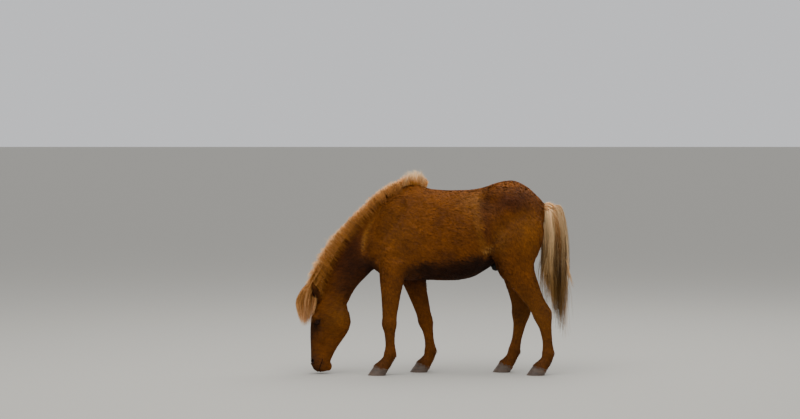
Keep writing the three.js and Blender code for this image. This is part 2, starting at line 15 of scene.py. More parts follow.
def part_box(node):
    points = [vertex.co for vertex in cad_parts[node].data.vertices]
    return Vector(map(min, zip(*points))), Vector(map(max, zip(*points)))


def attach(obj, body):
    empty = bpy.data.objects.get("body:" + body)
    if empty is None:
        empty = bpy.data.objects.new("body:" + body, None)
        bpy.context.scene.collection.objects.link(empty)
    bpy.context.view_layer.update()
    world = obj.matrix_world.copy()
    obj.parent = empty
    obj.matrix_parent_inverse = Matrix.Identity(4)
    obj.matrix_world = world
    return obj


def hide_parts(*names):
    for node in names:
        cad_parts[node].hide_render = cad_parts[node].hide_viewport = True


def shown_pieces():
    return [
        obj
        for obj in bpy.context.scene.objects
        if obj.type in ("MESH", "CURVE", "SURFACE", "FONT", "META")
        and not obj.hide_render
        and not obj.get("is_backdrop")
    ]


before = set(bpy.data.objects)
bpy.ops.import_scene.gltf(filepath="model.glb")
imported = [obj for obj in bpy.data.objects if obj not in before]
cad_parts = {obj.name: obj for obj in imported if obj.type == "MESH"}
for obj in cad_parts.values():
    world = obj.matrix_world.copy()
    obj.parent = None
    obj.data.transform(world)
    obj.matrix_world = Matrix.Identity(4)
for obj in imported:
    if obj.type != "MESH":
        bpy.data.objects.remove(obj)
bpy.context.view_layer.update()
bpy.ops.object.select_all(action="DESELECT")

# %% [markdown]
# ## Units and place
# The horse is drawn in millimetres, Z up, facing -X, with its left side at -Y. The CAD put the
# middle of its plan at the origin, so all that is drawn here moves along X by the same amount. The
# toe of the left fore hoof tells how far.

# %% Units and place
FORE_TOE_X = -481
SHIFT_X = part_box("foreleg_left_hoof")[0].x * 1000 - FORE_TOE_X


def metres(points):
    """Points of the drawing, in millimetres, as places in the scene."""
    return (np.asarray(points, float) + (SHIFT_X, 0, 0)) / 1000


def drawn(points):
    """The other way round: places in the scene as millimetres of the drawing."""
    return np.asarray(points, float) * 1000 - (SHIFT_X, 0, 0)


print("the drawing moves by", round(SHIFT_X, 2), "mm")

# %% [markdown]
# ## Camera, floor and light
# The camera stands at about eye level and looks slightly down, so the far edge of the floor
# crosses the picture above its middle. A long lens keeps the near and the far legs alike. One
# pixel is 7.35 mm at the horse, and that and the lens give the distance. The light is soft studio
# light: bright from above, with no hard shadow.

# %% Camera
PICTURE = (800, 419)
MM_PER_PIXEL = 7.35
EYE_LEVEL = 1.683
LENS, SENSOR = 100, 36
PICTURE_MIDDLE = (-243, 0, 1209)
distance = PICTURE[0] * MM_PER_PIXEL / 1000 * LENS / SENSOR
middle = Vector(metres(PICTURE_MIDDLE))
pitch = math.atan2(EYE_LEVEL - middle.z, distance)
bpy.ops.object.camera_add(
    location=(middle.x, -distance, EYE_LEVEL), rotation=(math.pi / 2 - pitch, 0, 0)
)
camera = bpy.context.object
camera.data.lens, camera.data.sensor_width = LENS, SENSOR
camera.data.clip_end = 6000
bpy.context.scene.camera = camera
print("camera", round(distance, 2), "m away, looking down", round(math.degrees(pitch), 2), "degrees")


# %% Colours and nodes
def linear(colour):
    """An sRGB hex colour as the linear values that Blender mixes with."""
    channels = [int(colour[i : i + 2], 16) / 255 for i in (1, 3, 5)]
    return [c / 12.92 if c <= 0.04045 else ((c + 0.055) / 1.055) ** 2.4 for c in channels]


def add(material, kind, inputs=None, **settings):
    """Adds a node, with its settings, and its inputs as values or as links."""
    tree = material.node_tree
    made = tree.nodes.new(kind)
    for name, value in settings.items():
        setattr(made, name, value)
    for name, value in (inputs or {}).items():
        if isinstance(value, bpy.types.NodeSocket):
            tree.links.new(value, made.inputs[name])
        else:
            made.inputs[name].default_value = value
    return made


def material_for(name):
    """An empty node material."""
    made = bpy.data.materials.new(name)
    made.use_nodes = True
    made.node_tree.nodes.clear()
    return made


def finish_material(made, shader):
    """Sends the shader to the surface."""
    add(made, "ShaderNodeOutputMaterial", {"Surface": shader.outputs[0]})
    return made


# %% Floor and light
FLOOR_SIZE = 4000
bpy.ops.mesh.primitive_plane_add(size=FLOOR_SIZE)
floor = bpy.context.object
floor.name = "floor"
# Matt painted floor: pale and even, it takes the soft shadow of the horse.
paint = material_for("matt floor paint")
floor.data.materials.append(
    finish_material(
        paint,
        add(paint, "ShaderNodeBsdfPrincipled", {"Base Color": (*linear("#b4b1a8"), 1), "Roughness": 0.9}),
    )
)
floor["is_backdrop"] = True

STUDIO_WHITE = "#dcdde0"
# Each lamp: place and size in metres, power in watts.
LAMPS = [((-1.0, -2.5, 8), 8, 560), ((2.5, 3.0, 7.5), 7, 260)]
LAMP_AIM = (0, 0, 0.9)
world = bpy.data.worlds.new("studio light")
bpy.context.scene.world = world
world.use_nodes = True
background = world.node_tree.nodes["Background"]
background.inputs["Color"].default_value = (*linear(STUDIO_WHITE), 1)
background.inputs["Strength"].default_value = 1.0
for place, size, power in LAMPS:
    bpy.ops.object.light_add(type="AREA", location=place)
    lamp = bpy.context.object
    lamp.data.size, lamp.data.energy = size, power
    lamp.rotation_euler = (Vector(LAMP_AIM) - Vector(place)).to_track_quat("-Z", "Y").to_euler()
print("floor and", len(LAMPS), "soft lamps")

# %% [markdown]
# ## Body forms from sections
# An animal has no straight lines to extrude, but it can be drawn as slices, as a boat is. Each row
# below is one slice: its front or upper end, its rear or lower end, its half width, where it is
# widest, how full its two halves are, and its side shift. A smooth curve through the rows fills in
# the rings between them. The rows are those of the CAD model, with more rings and points to each.

# %% Sections into rings
def spline(a, b, c, d, t):
    """A point at t on the smooth curve from b to c."""
    return 0.5 * (2 * b + (c - a) * t + (2 * a - 5 * b + 4 * c - d) * t * t + (3 * b - a - 3 * c + d) * t**3)


def refine(rows, steps):
    """Puts smooth rows between the given ones."""
    rows = np.asarray(rows, float)
    padded = np.vstack([rows[:1], rows, rows[-1:]])
    fine = [spline(*padded[i : i + 4], s / steps) for i in range(len(rows) - 1) for s in range(steps)]
    return np.array(fine + [rows[-1]])


def sections(rows, count, grow=0.0):
    """Rings of points, one for each row; grow makes them larger or, below zero, smaller."""
    ax, az, bx, bz, width, widest, full_a, full_b, shift = np.asarray(rows, float).T[:, :, None]
    turn = np.linspace(0, 2 * math.pi, count, endpoint=False)
    c, s = np.cos(turn), np.sin(turn)
    length = np.hypot(bx - ax, bz - az)
    power = 2 / np.where(c > 0, full_a, full_b)
    reach = np.where(c > 0, widest, 1 - widest) * length + grow
    along = widest * length - np.sign(c) * reach * np.abs(c) ** power
    side = np.sign(s) * (width + grow) * np.abs(s) ** power
    return np.stack(
        [ax + (bx - ax) / length * along, shift + side, az + (bz - az) / length * along], axis=-1
    )


def skin_of(rings):
    """Faces between rings, with a flat end at both sides."""
    rows, count = rings.shape[:2]
    faces = []
    for r in range(rows - 1):
        for i in range(count):
            a, b = r * count + i, r * count + (i + 1) % count
            faces.append((a, b, b + count, a + count))
    faces.append(tuple(range(count))[::-1])
    faces.append(tuple(range((rows - 1) * count, rows * count)))
    return rings.reshape(-1, 3), faces


def linked(mesh):
    """An object of the scene that shows the mesh and has its name."""
    made = bpy.data.objects.new(mesh.name, mesh)
    bpy.context.collection.objects.link(made)
    return made


def body_form(name, rings):
    """An object made of rings, in metres."""
    points, faces = skin_of(rings)
    mesh = bpy.data.meshes.new(name)
    mesh.from_pydata(metres(points).tolist(), [], faces)
    mesh.validate()
    return linked(mesh)


# %% The slices of trunk, neck, head and tail root
# How far the skin lies under the CAD surface, in millimetres: the coat fills the rest.
COAT_DEPTH, FACE_DEPTH, LEG_DEPTH, DOCK_DEPTH = 6.0, 2.5, 3.0, 4
TORSO = [
    [-452, 1080, -452, 830, 60, 0.5, 2, 2, 0],
    [-430, 1180, -440, 778, 118, 0.55, 2, 2, 0],
    [-370, 1275, -390, 735, 152, 0.55, 2, 2.1, 0],
    [-285, 1352, -300, 702, 176, 0.55, 1.8, 2.2, 0],
    [-190, 1390, -205, 688, 188, 0.56, 1.6, 2.3, 0],
    [-110, 1394, -120, 688, 198, 0.56, 1.7, 2.4, 0],
    [-20, 1366, -22, 692, 218, 0.54, 2, 2.4, 0],
    [80, 1355, 80, 690, 250, 0.53, 2.1, 2.3, 0],
    [180, 1354, 180, 693, 276, 0.53, 2.2, 2.2, 0],
    [280, 1358, 285, 714, 276, 0.52, 2.2, 2.1, 0],
    [370, 1374, 380, 764, 256, 0.48, 2.2, 2.1, 0],
    [450, 1402, 455, 815, 238, 0.4, 2.1, 2, 0],
    [530, 1422, 535, 850, 234, 0.34, 2, 2, 0],
    [600, 1422, 610, 875, 222, 0.36, 1.9, 2, 0],
    [680, 1385, 690, 915, 196, 0.4, 1.9, 2, 0],
    [745, 1330, 750, 965, 160, 0.45, 2, 2, 0],
    [795, 1278, 795, 1040, 105, 0.5, 2, 2, 0],
    [815, 1240, 815, 1110, 45, 0.5, 2, 2, 0],
]
NECK = [
    [-150, 1385, -300, 800, 120, 0.5, 1.8, 2, 0],
    [-255, 1368, -395, 785, 138, 0.56, 1.7, 2.1, 0],
    [-370, 1300, -452, 752, 128, 0.58, 1.7, 2.1, 0],
    [-470, 1208, -500, 708, 112, 0.58, 1.7, 2.1, 0],
    [-560, 1118, -545, 662, 97, 0.58, 1.7, 2.1, 0],
    [-640, 1015, -582, 614, 86, 0.56, 1.7, 2.1, 0],
    [-712, 905, -610, 566, 78, 0.55, 1.7, 2, 0],
    [-768, 792, -630, 520, 74, 0.52, 1.8, 2, 0],
    [-805, 690, -645, 490, 74, 0.5, 1.9, 2, 0],
    [-824, 610, -655, 462, 72, 0.48, 2, 2, 0],
    [-835, 555, -668, 438, 66, 0.48, 2, 2, 0],
]
HEAD = [
    [-800, 612, -690, 590, 40, 0.5, 2, 2, 0],
    [-828, 590, -655, 535, 68, 0.4, 2.2, 2, 0],
    [-858, 532, -630, 482, 82, 0.35, 2.4, 2, 0],
    [-880, 478, -614, 430, 92, 0.3, 2.6, 2, 0],
    [-893, 425, -609, 380, 97, 0.27, 2.8, 2, 0],
    [-900, 370, -618, 330, 94, 0.28, 2.8, 2, 0],
    [-903, 312, -645, 282, 78, 0.34, 2.6, 2.1, 0],
    [-903, 255, -680, 232, 64, 0.42, 2.5, 2.2, 0],
    [-902, 200, -712, 184, 56, 0.46, 2.4, 2.3, 0],
    [-901, 150, -735, 138, 52, 0.46, 2.3, 2.3, 0],
    [-901, 105, -752, 98, 54, 0.4, 2.3, 2.3, 0],
    [-897, 68, -757, 62, 54, 0.38, 2.3, 2.3, 0],
    [-884, 38, -768, 34, 47, 0.42, 2.3, 2.2, 0],
    [-866, 22, -786, 20, 32, 0.45, 2.2, 2.2, 0],
    [-848, 15, -806, 15, 12, 0.5, 2, 2, 0],
]
DOCK = [
    [780, 1180, 786, 1262, 30, 0.5, 2, 2, 0],
    [806, 1196, 812, 1262, 30, 0.5, 2, 2, 0],
    [838, 1192, 868, 1240, 34, 0.5, 2, 2, 0],
    [862, 1140, 918, 1160, 32, 0.5, 2, 2, 0],
    [872, 1030, 922, 1030, 27, 0.5, 2, 2, 0],
    [880, 920, 916, 920, 19, 0.5, 2, 2, 0],
    [892, 830, 906, 830, 7, 0.5, 2, 2, 0],
]
forms = [
    body_form("trunk", sections(refine(TORSO, 6), 64, -COAT_DEPTH)),
    body_form("neck", sections(refine(NECK, 6), 56, -COAT_DEPTH)),
    body_form("skull", sections(refine(HEAD, 8), 64, -FACE_DEPTH)),
    body_form("tail bone", sections(refine(DOCK, 4), 24, -DOCK_DEPTH)),
]
print("forms", [(f.name, len(f.data.vertices)) for f in forms])

# %% [markdown]
# ## Legs
# A leg is drawn along its joints: elbow or hip, knee or hock, fetlock and hoof. At each station
# along them the flesh reaches some way to the front and to the rear, so tendons, the point of the
# hock and the fetlock are no more than numbers in a row.

# %% Legs
# Each station: place along the joints, reach forwards and back, half width, how full in front and
# behind. Each joint: X, Z and Y.
FORE_STATIONS = [
    [0, 100, 120, 62, 2.2, 2.2], [0.6, 102, 112, 64, 2.2, 2.2], [1, 92, 92, 60, 2.2, 2.1],
    [1.3, 78, 76, 52, 2.2, 2], [1.6, 64, 64, 46, 2.2, 2], [1.85, 55, 54, 42, 2.4, 2],
    [2, 57, 55, 44, 2.6, 2.2], [2.12, 54, 54, 41, 2.5, 2.1], [2.3, 40, 44, 32, 2.3, 2.1],
    [2.6, 35, 38, 28, 2.2, 2.2], [2.85, 38, 44, 31, 2.2, 2.2], [3, 42, 50, 36, 2.2, 2.2],
    [3.3, 38, 46, 34, 2.2, 2.2], [3.65, 42, 48, 40, 2.2, 2.2],
]
HIND_STATIONS = [
    [0, 200, 130, 78, 2, 2.1], [0.5, 252, 170, 104, 2, 2.1], [1, 240, 180, 118, 2, 2.1],
    [1.5, 205, 162, 112, 2.1, 2.1], [2, 142, 130, 90, 2.1, 2.1], [2.25, 110, 104, 74, 2.1, 2],
    [2.5, 88, 82, 60, 2.2, 1.9], [2.75, 70, 66, 48, 2.3, 1.8], [2.9, 66, 72, 45, 2.4, 1.8],
    [3, 66, 78, 46, 2.5, 1.8], [3.12, 60, 68, 44, 2.5, 1.9], [3.3, 46, 50, 36, 2.4, 2],
    [3.6, 37, 40, 30, 2.2, 2.2], [3.85, 38, 44, 32, 2.2, 2.2], [4, 42, 50, 37, 2.2, 2.2],
    [4.3, 38, 46, 35, 2.2, 2.2], [4.65, 42, 48, 40, 2.2, 2.2],
]
LIMBS = {
    "foreleg_left": (
        FORE_STATIONS,
        [[-285, 930, -118], [-300, 720, -124], [-320, 390, -122], [-320, 162, -120], [-376, 62, -118]],
    ),
    "foreleg_right": (
        FORE_STATIONS,
        [[-200, 930, 118], [-150, 720, 124], [-56, 390, 122], [-22, 162, 120], [-66, 62, 118]],
    ),
    "hindleg_left": (
        HIND_STATIONS,
        [
            [620, 1215, -112], [622, 1020, -130], [612, 800, -134],
            [792, 446, -118], [836, 168, -116], [786, 62, -116],
        ],
    ),
    "hindleg_right": (
        HIND_STATIONS,
        [
            [620, 1215, 112], [622, 1020, 130], [622, 800, 134],
            [650, 446, 118], [602, 168, 116], [548, 62, 116],
        ],
    ),
}
HOOF = {
    "toe": -105, "heel": 26, "half_width": 60, "edge": 4,
    "coronet_toe": (-50, 78), "coronet_heel": (48, 44), "coronet_half_width": 48,
}


def limb_rows(stations, joints):
    """The slices across a leg, square to the line of its joints."""
    joints = np.asarray(joints, float)
    rows = []
    for place, front, rear, width, full_front, full_rear in stations:
        i = min(int(place), len(joints) - 2)
        four = [joints[min(max(i + k, 0), len(joints) - 1)] for k in (-1, 0, 1, 2)]
        here, ahead = spline(*four, place - i), spline(*four, place - i + 0.01)
        fx, fz = np.array([ahead[1] - here[1], here[0] - ahead[0]]) / math.dist(ahead[:2], here[:2])
        rows.append([
            here[0] + fx * front, here[1] + fz * front, here[0] - fx * rear, here[1] - fz * rear,
            width, front / (front + rear), full_front, full_rear, here[2],
        ])
    return rows


def coronet(joints, drop=0.0, inset=0.0):
    """The slice where the skin meets the horn; drop and inset take it down inside the hoof."""
    x, _, y = joints[-1]
    (toe, toe_height), (heel, heel_height) = HOOF["coronet_toe"], HOOF["coronet_heel"]
    return [
        x + toe + inset, toe_height - drop, x + heel - inset, heel_height - drop,
        HOOF["coronet_half_width"] - inset, 0.5, 2.2, 2.4, y,
    ]


for name, (stations, joints) in LIMBS.items():
    rows = limb_rows(stations, joints) + [coronet(joints), coronet(joints, 16, 5)]
    forms.append(body_form(name, sections(refine(rows, 6), 40, -LEG_DEPTH)))
print("legs", list(LIMBS))

# %% [markdown]
# ## Muscles and the bones of the face
# Shoulder, elbow, chest and hip stand out from the slices, and so do the round cheek, the ridge
# below the eye, the rim of the eye socket, the brow and the nostrils. Each is a ball, scaled and
# leant to the muscle's shape and sunk into the body, once for each side.

# %% Muscles and the bones of the face
MUSCLES = [
    # middle, radii, lean in radians, depth of the coat over it
    ((-318, 92, 1105), (118, 73, 225), 0.42, COAT_DEPTH),
    ((-425, 60, 945), (98, 78, 130), 0.1, COAT_DEPTH),
    ((-235, 118, 915), (130, 68, 175), -0.5, COAT_DEPTH),
    ((-392, 58, 846), (78, 66, 92), 0, COAT_DEPTH),
    ((452, 142, 1290), (125, 72, 100), 0, COAT_DEPTH),
    ((-694, 42, 396), (92, 44, 100), 0, FACE_DEPTH),
    ((-822, 58, 314), (26, 27, 96), -0.15, FACE_DEPTH),
    ((-849, 78, 387), (38, 27, 33), 0, FACE_DEPTH),
    ((-860, 72, 416), (34, 26, 24), 0.4, FACE_DEPTH),
    ((-876, 36, 92), (24, 24, 40), 0.15, FACE_DEPTH),
]
CHIN = ((-776, 0, 56), (32, 34, 38), 0, FACE_DEPTH)


def swelling(centre, radii, lean, depth):
    """A ball scaled to a muscle and leant in the side view."""
    bpy.ops.mesh.primitive_uv_sphere_add(
        segments=32, ring_count=20, location=metres(centre), rotation=(0, lean, 0),
        scale=[(r - depth) / 1000 for r in radii],
    )
    bpy.ops.object.transform_apply(location=True, rotation=True, scale=True)
    return bpy.context.object


for (x, y, z), radii, lean, depth in MUSCLES:
    for side in (-1, 1):
        forms.append(swelling((x, side * y, z), radii, lean, depth))
forms.append(swelling(*CHIN))
print("muscles on each side", len(MUSCLES))

# %% [markdown]
# ## One skin
# All forms are joined, and a voxel remesh makes one closed surface of them, so there is no seam
# between leg and trunk. The creases between the forms are then relaxed: much on the trunk, where
# muscles melt into each other, and little on the face and legs, where bone is close to the skin.

# %% One skin
VOXEL = 0.0085


def select_only(*chosen):
    """Selects these objects and no other, and makes the first one active."""
    bpy.ops.object.select_all(action="DESELECT")
    for obj in chosen:
        obj.select_set(True)
    bpy.context.view_layer.objects.active = chosen[0]


def apply(modifier):
    """Makes a modifier of the active object part of its mesh."""
    bpy.ops.object.modifier_apply(modifier=modifier.name)


select_only(*forms)
skin = forms[0]
bpy.ops.object.join()
skin.name = skin.data.name = "skin"
remesh = skin.modifiers.new("one surface", "REMESH")
remesh.mode, remesh.voxel_size = "VOXEL", VOXEL
apply(remesh)


def points_of(mesh, what="vertices", key="co", width=3):
    """One property of all vertices, loops or faces as an array."""
    data = getattr(mesh, what)
    values = np.empty(len(data) * width, np.float32)
    data.foreach_get(key, values)
    return values.reshape(-1, width).astype(float)


def edges_of(mesh):
    """The pairs of vertices that share an edge."""
    pairs = np.empty(len(mesh.edges) * 2, np.int32)
    mesh.edges.foreach_get("vertices", pairs)
    return pairs.reshape(-1, 2)


def relax(mesh, weight, rounds, back=-0.5):
    """Moves each vertex towards its neighbours, and partly back, so that forms don't shrink."""
    points, pairs = points_of(mesh), edges_of(mesh)
    a, b = np.concatenate([pairs[:, 0], pairs[:, 1]]), np.concatenate([pairs[:, 1], pairs[:, 0]])
    count = np.maximum(np.bincount(a, minlength=len(points)), 1)
    for step in (0.55, back) * rounds:
        mean = np.stack([np.bincount(a, points[b, k], len(points)) / count for k in range(3)], axis=1)
        points += step * weight[:, None] * (mean - points)
    mesh.vertices.foreach_set("co", points.ravel().astype(np.float32))
    mesh.update()


def ease(x, low, high):
    """0 below low, 1 above high, smooth between."""
    t = np.clip((np.asarray(x, float) - low) / (high - low), 0, 1)
    return t * t * (3 - 2 * t)


def mirrored(points):
    """The points, with those of the left side brought to the right."""
    return points * (1, 0, 1) + np.abs(points) * (0, 1, 0)


# The cut between head and neck: a point on it and its slope in the side view.
POLL_TOP, POLL_SLOPE = (-806, 640), -0.856


def above_head(points):
    """How far a point is behind the cut between head and neck, in millimetres."""
    x, z = points[:, 0], points[:, 2]
    return z - (POLL_TOP[1] + POLL_SLOPE * (x - POLL_TOP[0]))


place = drawn(points_of(skin.data))
trunk_weight = ease(place[:, 2], 560, 760)
trunk_weight *= np.where(place[:, 0] < -480, ease(above_head(place), -20, 80), 1)
relax(skin.data, 0.15 + 0.85 * trunk_weight, 18)

# Where thigh, hip and shoulder run into the trunk, the creases melt away.
MELT = [
    # middle, radii
    ((560, 200, 1200), (170, 90, 120)), ((470, 210, 1060), (90, 90, 150)),
    ((720, 170, 1120), (80, 90, 150)), ((430, 150, 1345), (150, 110, 80)),
    ((-360, 140, 1260), (110, 80, 130)), ((-440, 110, 1130), (60, 60, 100)),
    ((-240, 150, 760), (120, 70, 60)), ((470, 170, 860), (80, 90, 60)),
]


def soft_patch(half, centre, radii):
    """1 in the middle of a patch, falling softly to 0 outside its radii."""
    return np.exp(-(((half - centre) / np.array(radii)) ** 2).sum(axis=1))


melt = sum(soft_patch(mirrored(place), centre, radii) for centre, radii in MELT)
relax(skin.data, np.minimum(melt, 1), 26, back=0)
print("skin", len(skin.data.vertices), "vertices")

# %% [markdown]
# ## Finer mesh on the head
# Folds, lips and nostrils need smaller faces than a flank does. The head's faces are selected by
# their place and subdivided, and those round the eyes, nostrils and mouth a second time.

# %% Finer mesh on the head
EYE = {"radius": 21.0, "centre": (-849, 80, 384), "half_length": 17.0, "half_height": 10.5, "slant": 0.6}
NOSTRIL = (-886, 50, 94)
MOUTH = [(-840, 16), (-834, 40), (-825, 72), (-812, 112)]


def subdivide_where(obj, choose):
    """Selects faces by their middle and subdivides them."""
    mesh = obj.data
    select_only(obj)
    bpy.ops.object.mode_set(mode="EDIT")
    bpy.ops.mesh.select_mode(type="FACE")
    bpy.ops.mesh.select_all(action="DESELECT")
    bpy.ops.object.mode_set(mode="OBJECT")
    chosen = choose(drawn(points_of(mesh, "polygons", "center")))
    mesh.polygons.foreach_set("select", chosen)
    bpy.ops.object.mode_set(mode="EDIT")
    bpy.ops.mesh.subdivide(number_cuts=1, smoothness=0.6)
    bpy.ops.object.mode_set(mode="OBJECT")
    return int(chosen.sum())


def on_head(points):
    """Whether a point belongs to the head."""
    return (above_head(points) < 0) & (points[:, 0] < -560)


def from_mouth(points):
    """Distance in the side view from the line of the mouth."""
    best = np.full(len(points), 1e9)
    flat = points[:, [0, 2]]
    for a, b in zip(MOUTH[:-1], MOUTH[1:]):
        a, b = np.array(a, float), np.array(b, float)
        t = np.clip(((flat - a) @ (b - a)) / ((b - a) @ (b - a)), 0, 1)
        best = np.minimum(best, np.linalg.norm(flat - (a + t[:, None] * (b - a)), axis=1))
    return best


def near_detail(points):
    """Faces round the eyes, the nostrils and the mouth."""
    eye = np.linalg.norm(mirrored(points) - EYE["centre"], axis=1) < 50
    nostril = np.linalg.norm(mirrored(points) - NOSTRIL, axis=1) < 34
    mouth = (from_mouth(points) < 16) & (points[:, 2] < 135)
    return on_head(points) & (eye | nostril | mouth)


print("head faces", subdivide_where(skin, on_head))
head_weight = on_head(drawn(points_of(skin.data))).astype(float)
relax(skin.data, head_weight * 0.6, 3)
print("fine faces", subdivide_where(skin, near_detail))
relax(skin.data, near_detail(drawn(points_of(skin.data))) * 0.6, 3)

# %% [markdown]
# ## Lids
# The eye lies deep in the side of the head, under a lid with a fold. The lids are rings laid round
# an almond: the inner ones follow the eyeball, the outer ones the skin, which a ray finds. Rings
# laid by a formula stay smooth where a sculpted edge would follow the faces of the mesh.

# %% Lids
def surface_of(obj):
    """A tree that answers where a ray meets the object."""
    return BVHTree.FromPolygons(
        [tuple(p) for p in points_of(obj.data)], [tuple(f.vertices) for f in obj.data.polygons]
    )


skin_surface = surface_of(skin)
# Each ring: how many almonds out, height over the eyeball or None, height over the skin.
LID_RINGS = [
    (0.93, -0.6, 0), (0.98, 1.2, 0), (1.04, 2.1, 0), (1.14, 2.7, 0), (1.3, 2.4, 0.6), (1.48, None, 0.4),
    (1.64, None, -1.3), (1.82, None, 0.5), (2.05, None, 0.9), (2.35, None, 0.2), (2.7, None, -2.5),
]


def eye_axes(side):
    """Along the eye from its front corner to its rear one, towards the brow, and outwards."""
    c, s = math.cos(EYE["slant"]), math.sin(EYE["slant"])
    return np.array([c, 0, s]), np.array([-s, 0, c]), np.array([0, side, 0])


def side_name(side):
    """The horse's own side, as it is called in the names of pieces."""
    return "left" if side < 0 else "right"


def eyelids(side, count=72):
    """Both lids of one eye, as rings from the eyeball out to the skin."""
    centre = np.array(EYE["centre"]) * (1, side, 1)
    along, up, out = eye_axes(side)
    rings = []
    for ratio, over_ball, over_skin in LID_RINGS:
        ring = []
        for turn in np.linspace(0, 2 * math.pi, count, endpoint=False):
            height = EYE["half_height"] * (1.12 if math.sin(turn) > 0 else 0.9)
            u = ratio * EYE["half_length"] * math.cos(turn) * (1 if ratio < 1.5 else 0.97)
            v = ratio * height * math.sin(turn)
            start = Vector(metres(centre + u * along + v * up + 60 * out))
            hit = skin_surface.ray_cast(start, Vector(-out))
            skin_w = (drawn(hit[0]) - centre) @ out if hit[0] else 15.0
            if over_ball is None:
                w = skin_w + over_skin * (1.0 if math.sin(turn) > -0.2 else 0.5)
            else:
                ball = EYE["radius"] + over_ball
                w = math.sqrt(max(ball**2 - u * u - v * v, 9.0))
                w += (max(skin_w + 0.6, w) - w) * 0.55 * float(ease(ratio, 1.1, 1.4))
            ring.append(centre + u * along + v * up + w * out)
        rings.append(ring)
    rings = np.array(rings)
    rows, columns = rings.shape[:2]
    faces = [
        (r * columns + i, r * columns + (i + 1) % columns, (r + 1) * columns + (i + 1) % columns,
         (r + 1) * columns + i)
        for r in range(rows - 1)
        for i in range(columns)
    ]
    if side < 0:
        faces = [face[::-1] for face in faces]
    mesh = bpy.data.meshes.new(f"eyelids_{side_name(side)}")
    mesh.from_pydata(metres(rings.reshape(-1, 3)).tolist(), [], faces)
    mesh.shade_smooth()
    made = linked(mesh)
    # A lid has an inner side too.
    wall = made.modifiers.new("lid thickness", "SOLIDIFY")
    wall.thickness, wall.offset = 0.0012, -1
    select_only(made)
    apply(wall)
    return made


lids = [eyelids(side) for side in (-1, 1)]
print("lid rings", len(LID_RINGS))

# %% [markdown]
# ## Folds, lips and nostrils
# What the slices can't hold is pressed into the skin or raised from it: each line below is a soft
# dent or swelling with its middle, its radii and its height. The list has the landmarks that an
# artist would mark on a horse: the hip bone, the hollow of the flank, the groove behind the
# shoulder, tendons, the hollow above the eye. Nostrils and the line of the mouth are cut deeper.

# %% Relief of the body
RELIEF = [
    # middle, radii, height
    ((455, 196, 1325), (55, 60, 45), 9), ((385, 215, 1232), (85, 80, 80), -13),
    ((330, 235, 1150), (120, 80, 60), -4), ((-150, 190, 1060), (45, 70, 220), -7),
    ((-235, 170, 800), (55, 60, 50), 8), ((-330, 150, 1230), (40, 60, 130), 5),
    ((-455, 118, 1165), (36, 60, 80), -8), ((-520, 95, 1050), (32, 60, 110), -7),
    ((-530, 85, 900), (34, 60, 90), -6), ((-345, 160, 960), (60, 60, 70), 6),
    ((-300, 165, 870), (90, 60, 30), -5), ((-420, 0, 830), (60, 26, 120), -9),
    ((-610, 70, 720), (26, 40, 150), -6), ((-560, 100, 1130), (90, 50, 40), 4),
    ((480, 215, 1060), (70, 60, 150), 7), ((425, 200, 985), (45, 70, 60), -7),
    ((700, 170, 1100), (22, 60, 150), -6), ((770, 100, 1080), (40, 50, 120), 5),
    ((640, 190, 1230), (60, 60, 80), 5), ((820, 0, 1130), (40, 12, 90), -10),
    ((0, 0, 1370), (240, 16, 40), -3), ((560, 0, 1420), (150, 14, 40), -4),
    ((180, 250, 820), (160, 60, 40), 4), ((-20, 190, 705), (150, 60, 30), -4),
    ((-845, 64, 446), (17, 20, 20), -5), ((-812, 88, 352), (24, 18, 12), -3.5),
    ((-795, 84, 398), (20, 20, 26), -3), ((-770, 78, 300), (26, 24, 60), -4),
    ((-862, 52, 250), (16, 20, 90), -3), ((-905, 0, 300), (14, 16, 110), 1.5),
    ((-884, 40, 150), (20, 14, 34), -4), ((-812, 50, 130), (22, 20, 30), 2.5),
    ((-640, 78, 440), (16, 40, 70), -6), ((-604, 0, 425), (36, 110, 60), -12),
    ((-868, 44, 52), (18, 16, 20), 2.5),
]
RIB = {"first": -40, "last": 310, "spacing": 56, "low": 830, "high": 1230, "height": 1.6}

place = drawn(points_of(skin.data))
normals = points_of(skin.data, key="normal")
half = mirrored(place)
lift = sum(height * soft_patch(half, centre, radii) for centre, radii, height in RELIEF)
rib_zone = ease(half[:, 0], RIB["first"] - 60, RIB["first"] + 60)
rib_zone *= 1 - ease(half[:, 0], RIB["last"] - 60, RIB["last"] + 60)
rib_rows = ease(half[:, 2], RIB["low"] - 60, RIB["low"] + 80)
rib_rows *= 1 - ease(half[:, 2], RIB["high"] - 80, RIB["high"] + 60)
rib_zone *= rib_rows
slope = (half[:, 2] - 1000) * 0.25
lift += RIB["height"] * rib_zone * np.sin(2 * math.pi * (half[:, 0] + slope) / RIB["spacing"])

# The edges of haunch and shoulder: flesh stands out behind the line and sinks in front of it.
HAUNCH = [(392, 1385), (350, 1335), (322, 1264), (330, 1170), (345, 1077), (385, 977), (436, 895)]
SHOULDER = [(-372, 1290), (-414, 1228), (-474, 1145), (-514, 1073), (-530, 1000), (-536, 930)]


def behind_line(half, line):
    """How far each point lies behind a line that is drawn downwards in the side view."""
    return half[:, 0] - np.interp(-half[:, 2], [-z for _, z in line], [x for x, _ in line])


for line, rise, sink, width in ((HAUNCH, 7.0, 15.0, 38.0), (SHOULDER, 5.0, 9.0, 26.0)):
    behind = behind_line(half, line) / width
    edge_zone = ease(half[:, 2], line[-1][1] - 15, line[-1][1] + 85) * ease(half[:, 1], 60, 140)
    edge_zone *= 1 - ease(half[:, 2], line[0][1] - 200, line[0][1] - 5)
    lift += np.where(behind > 0, rise, sink) * edge_zone * behind * np.exp(-(behind**2) / 2)

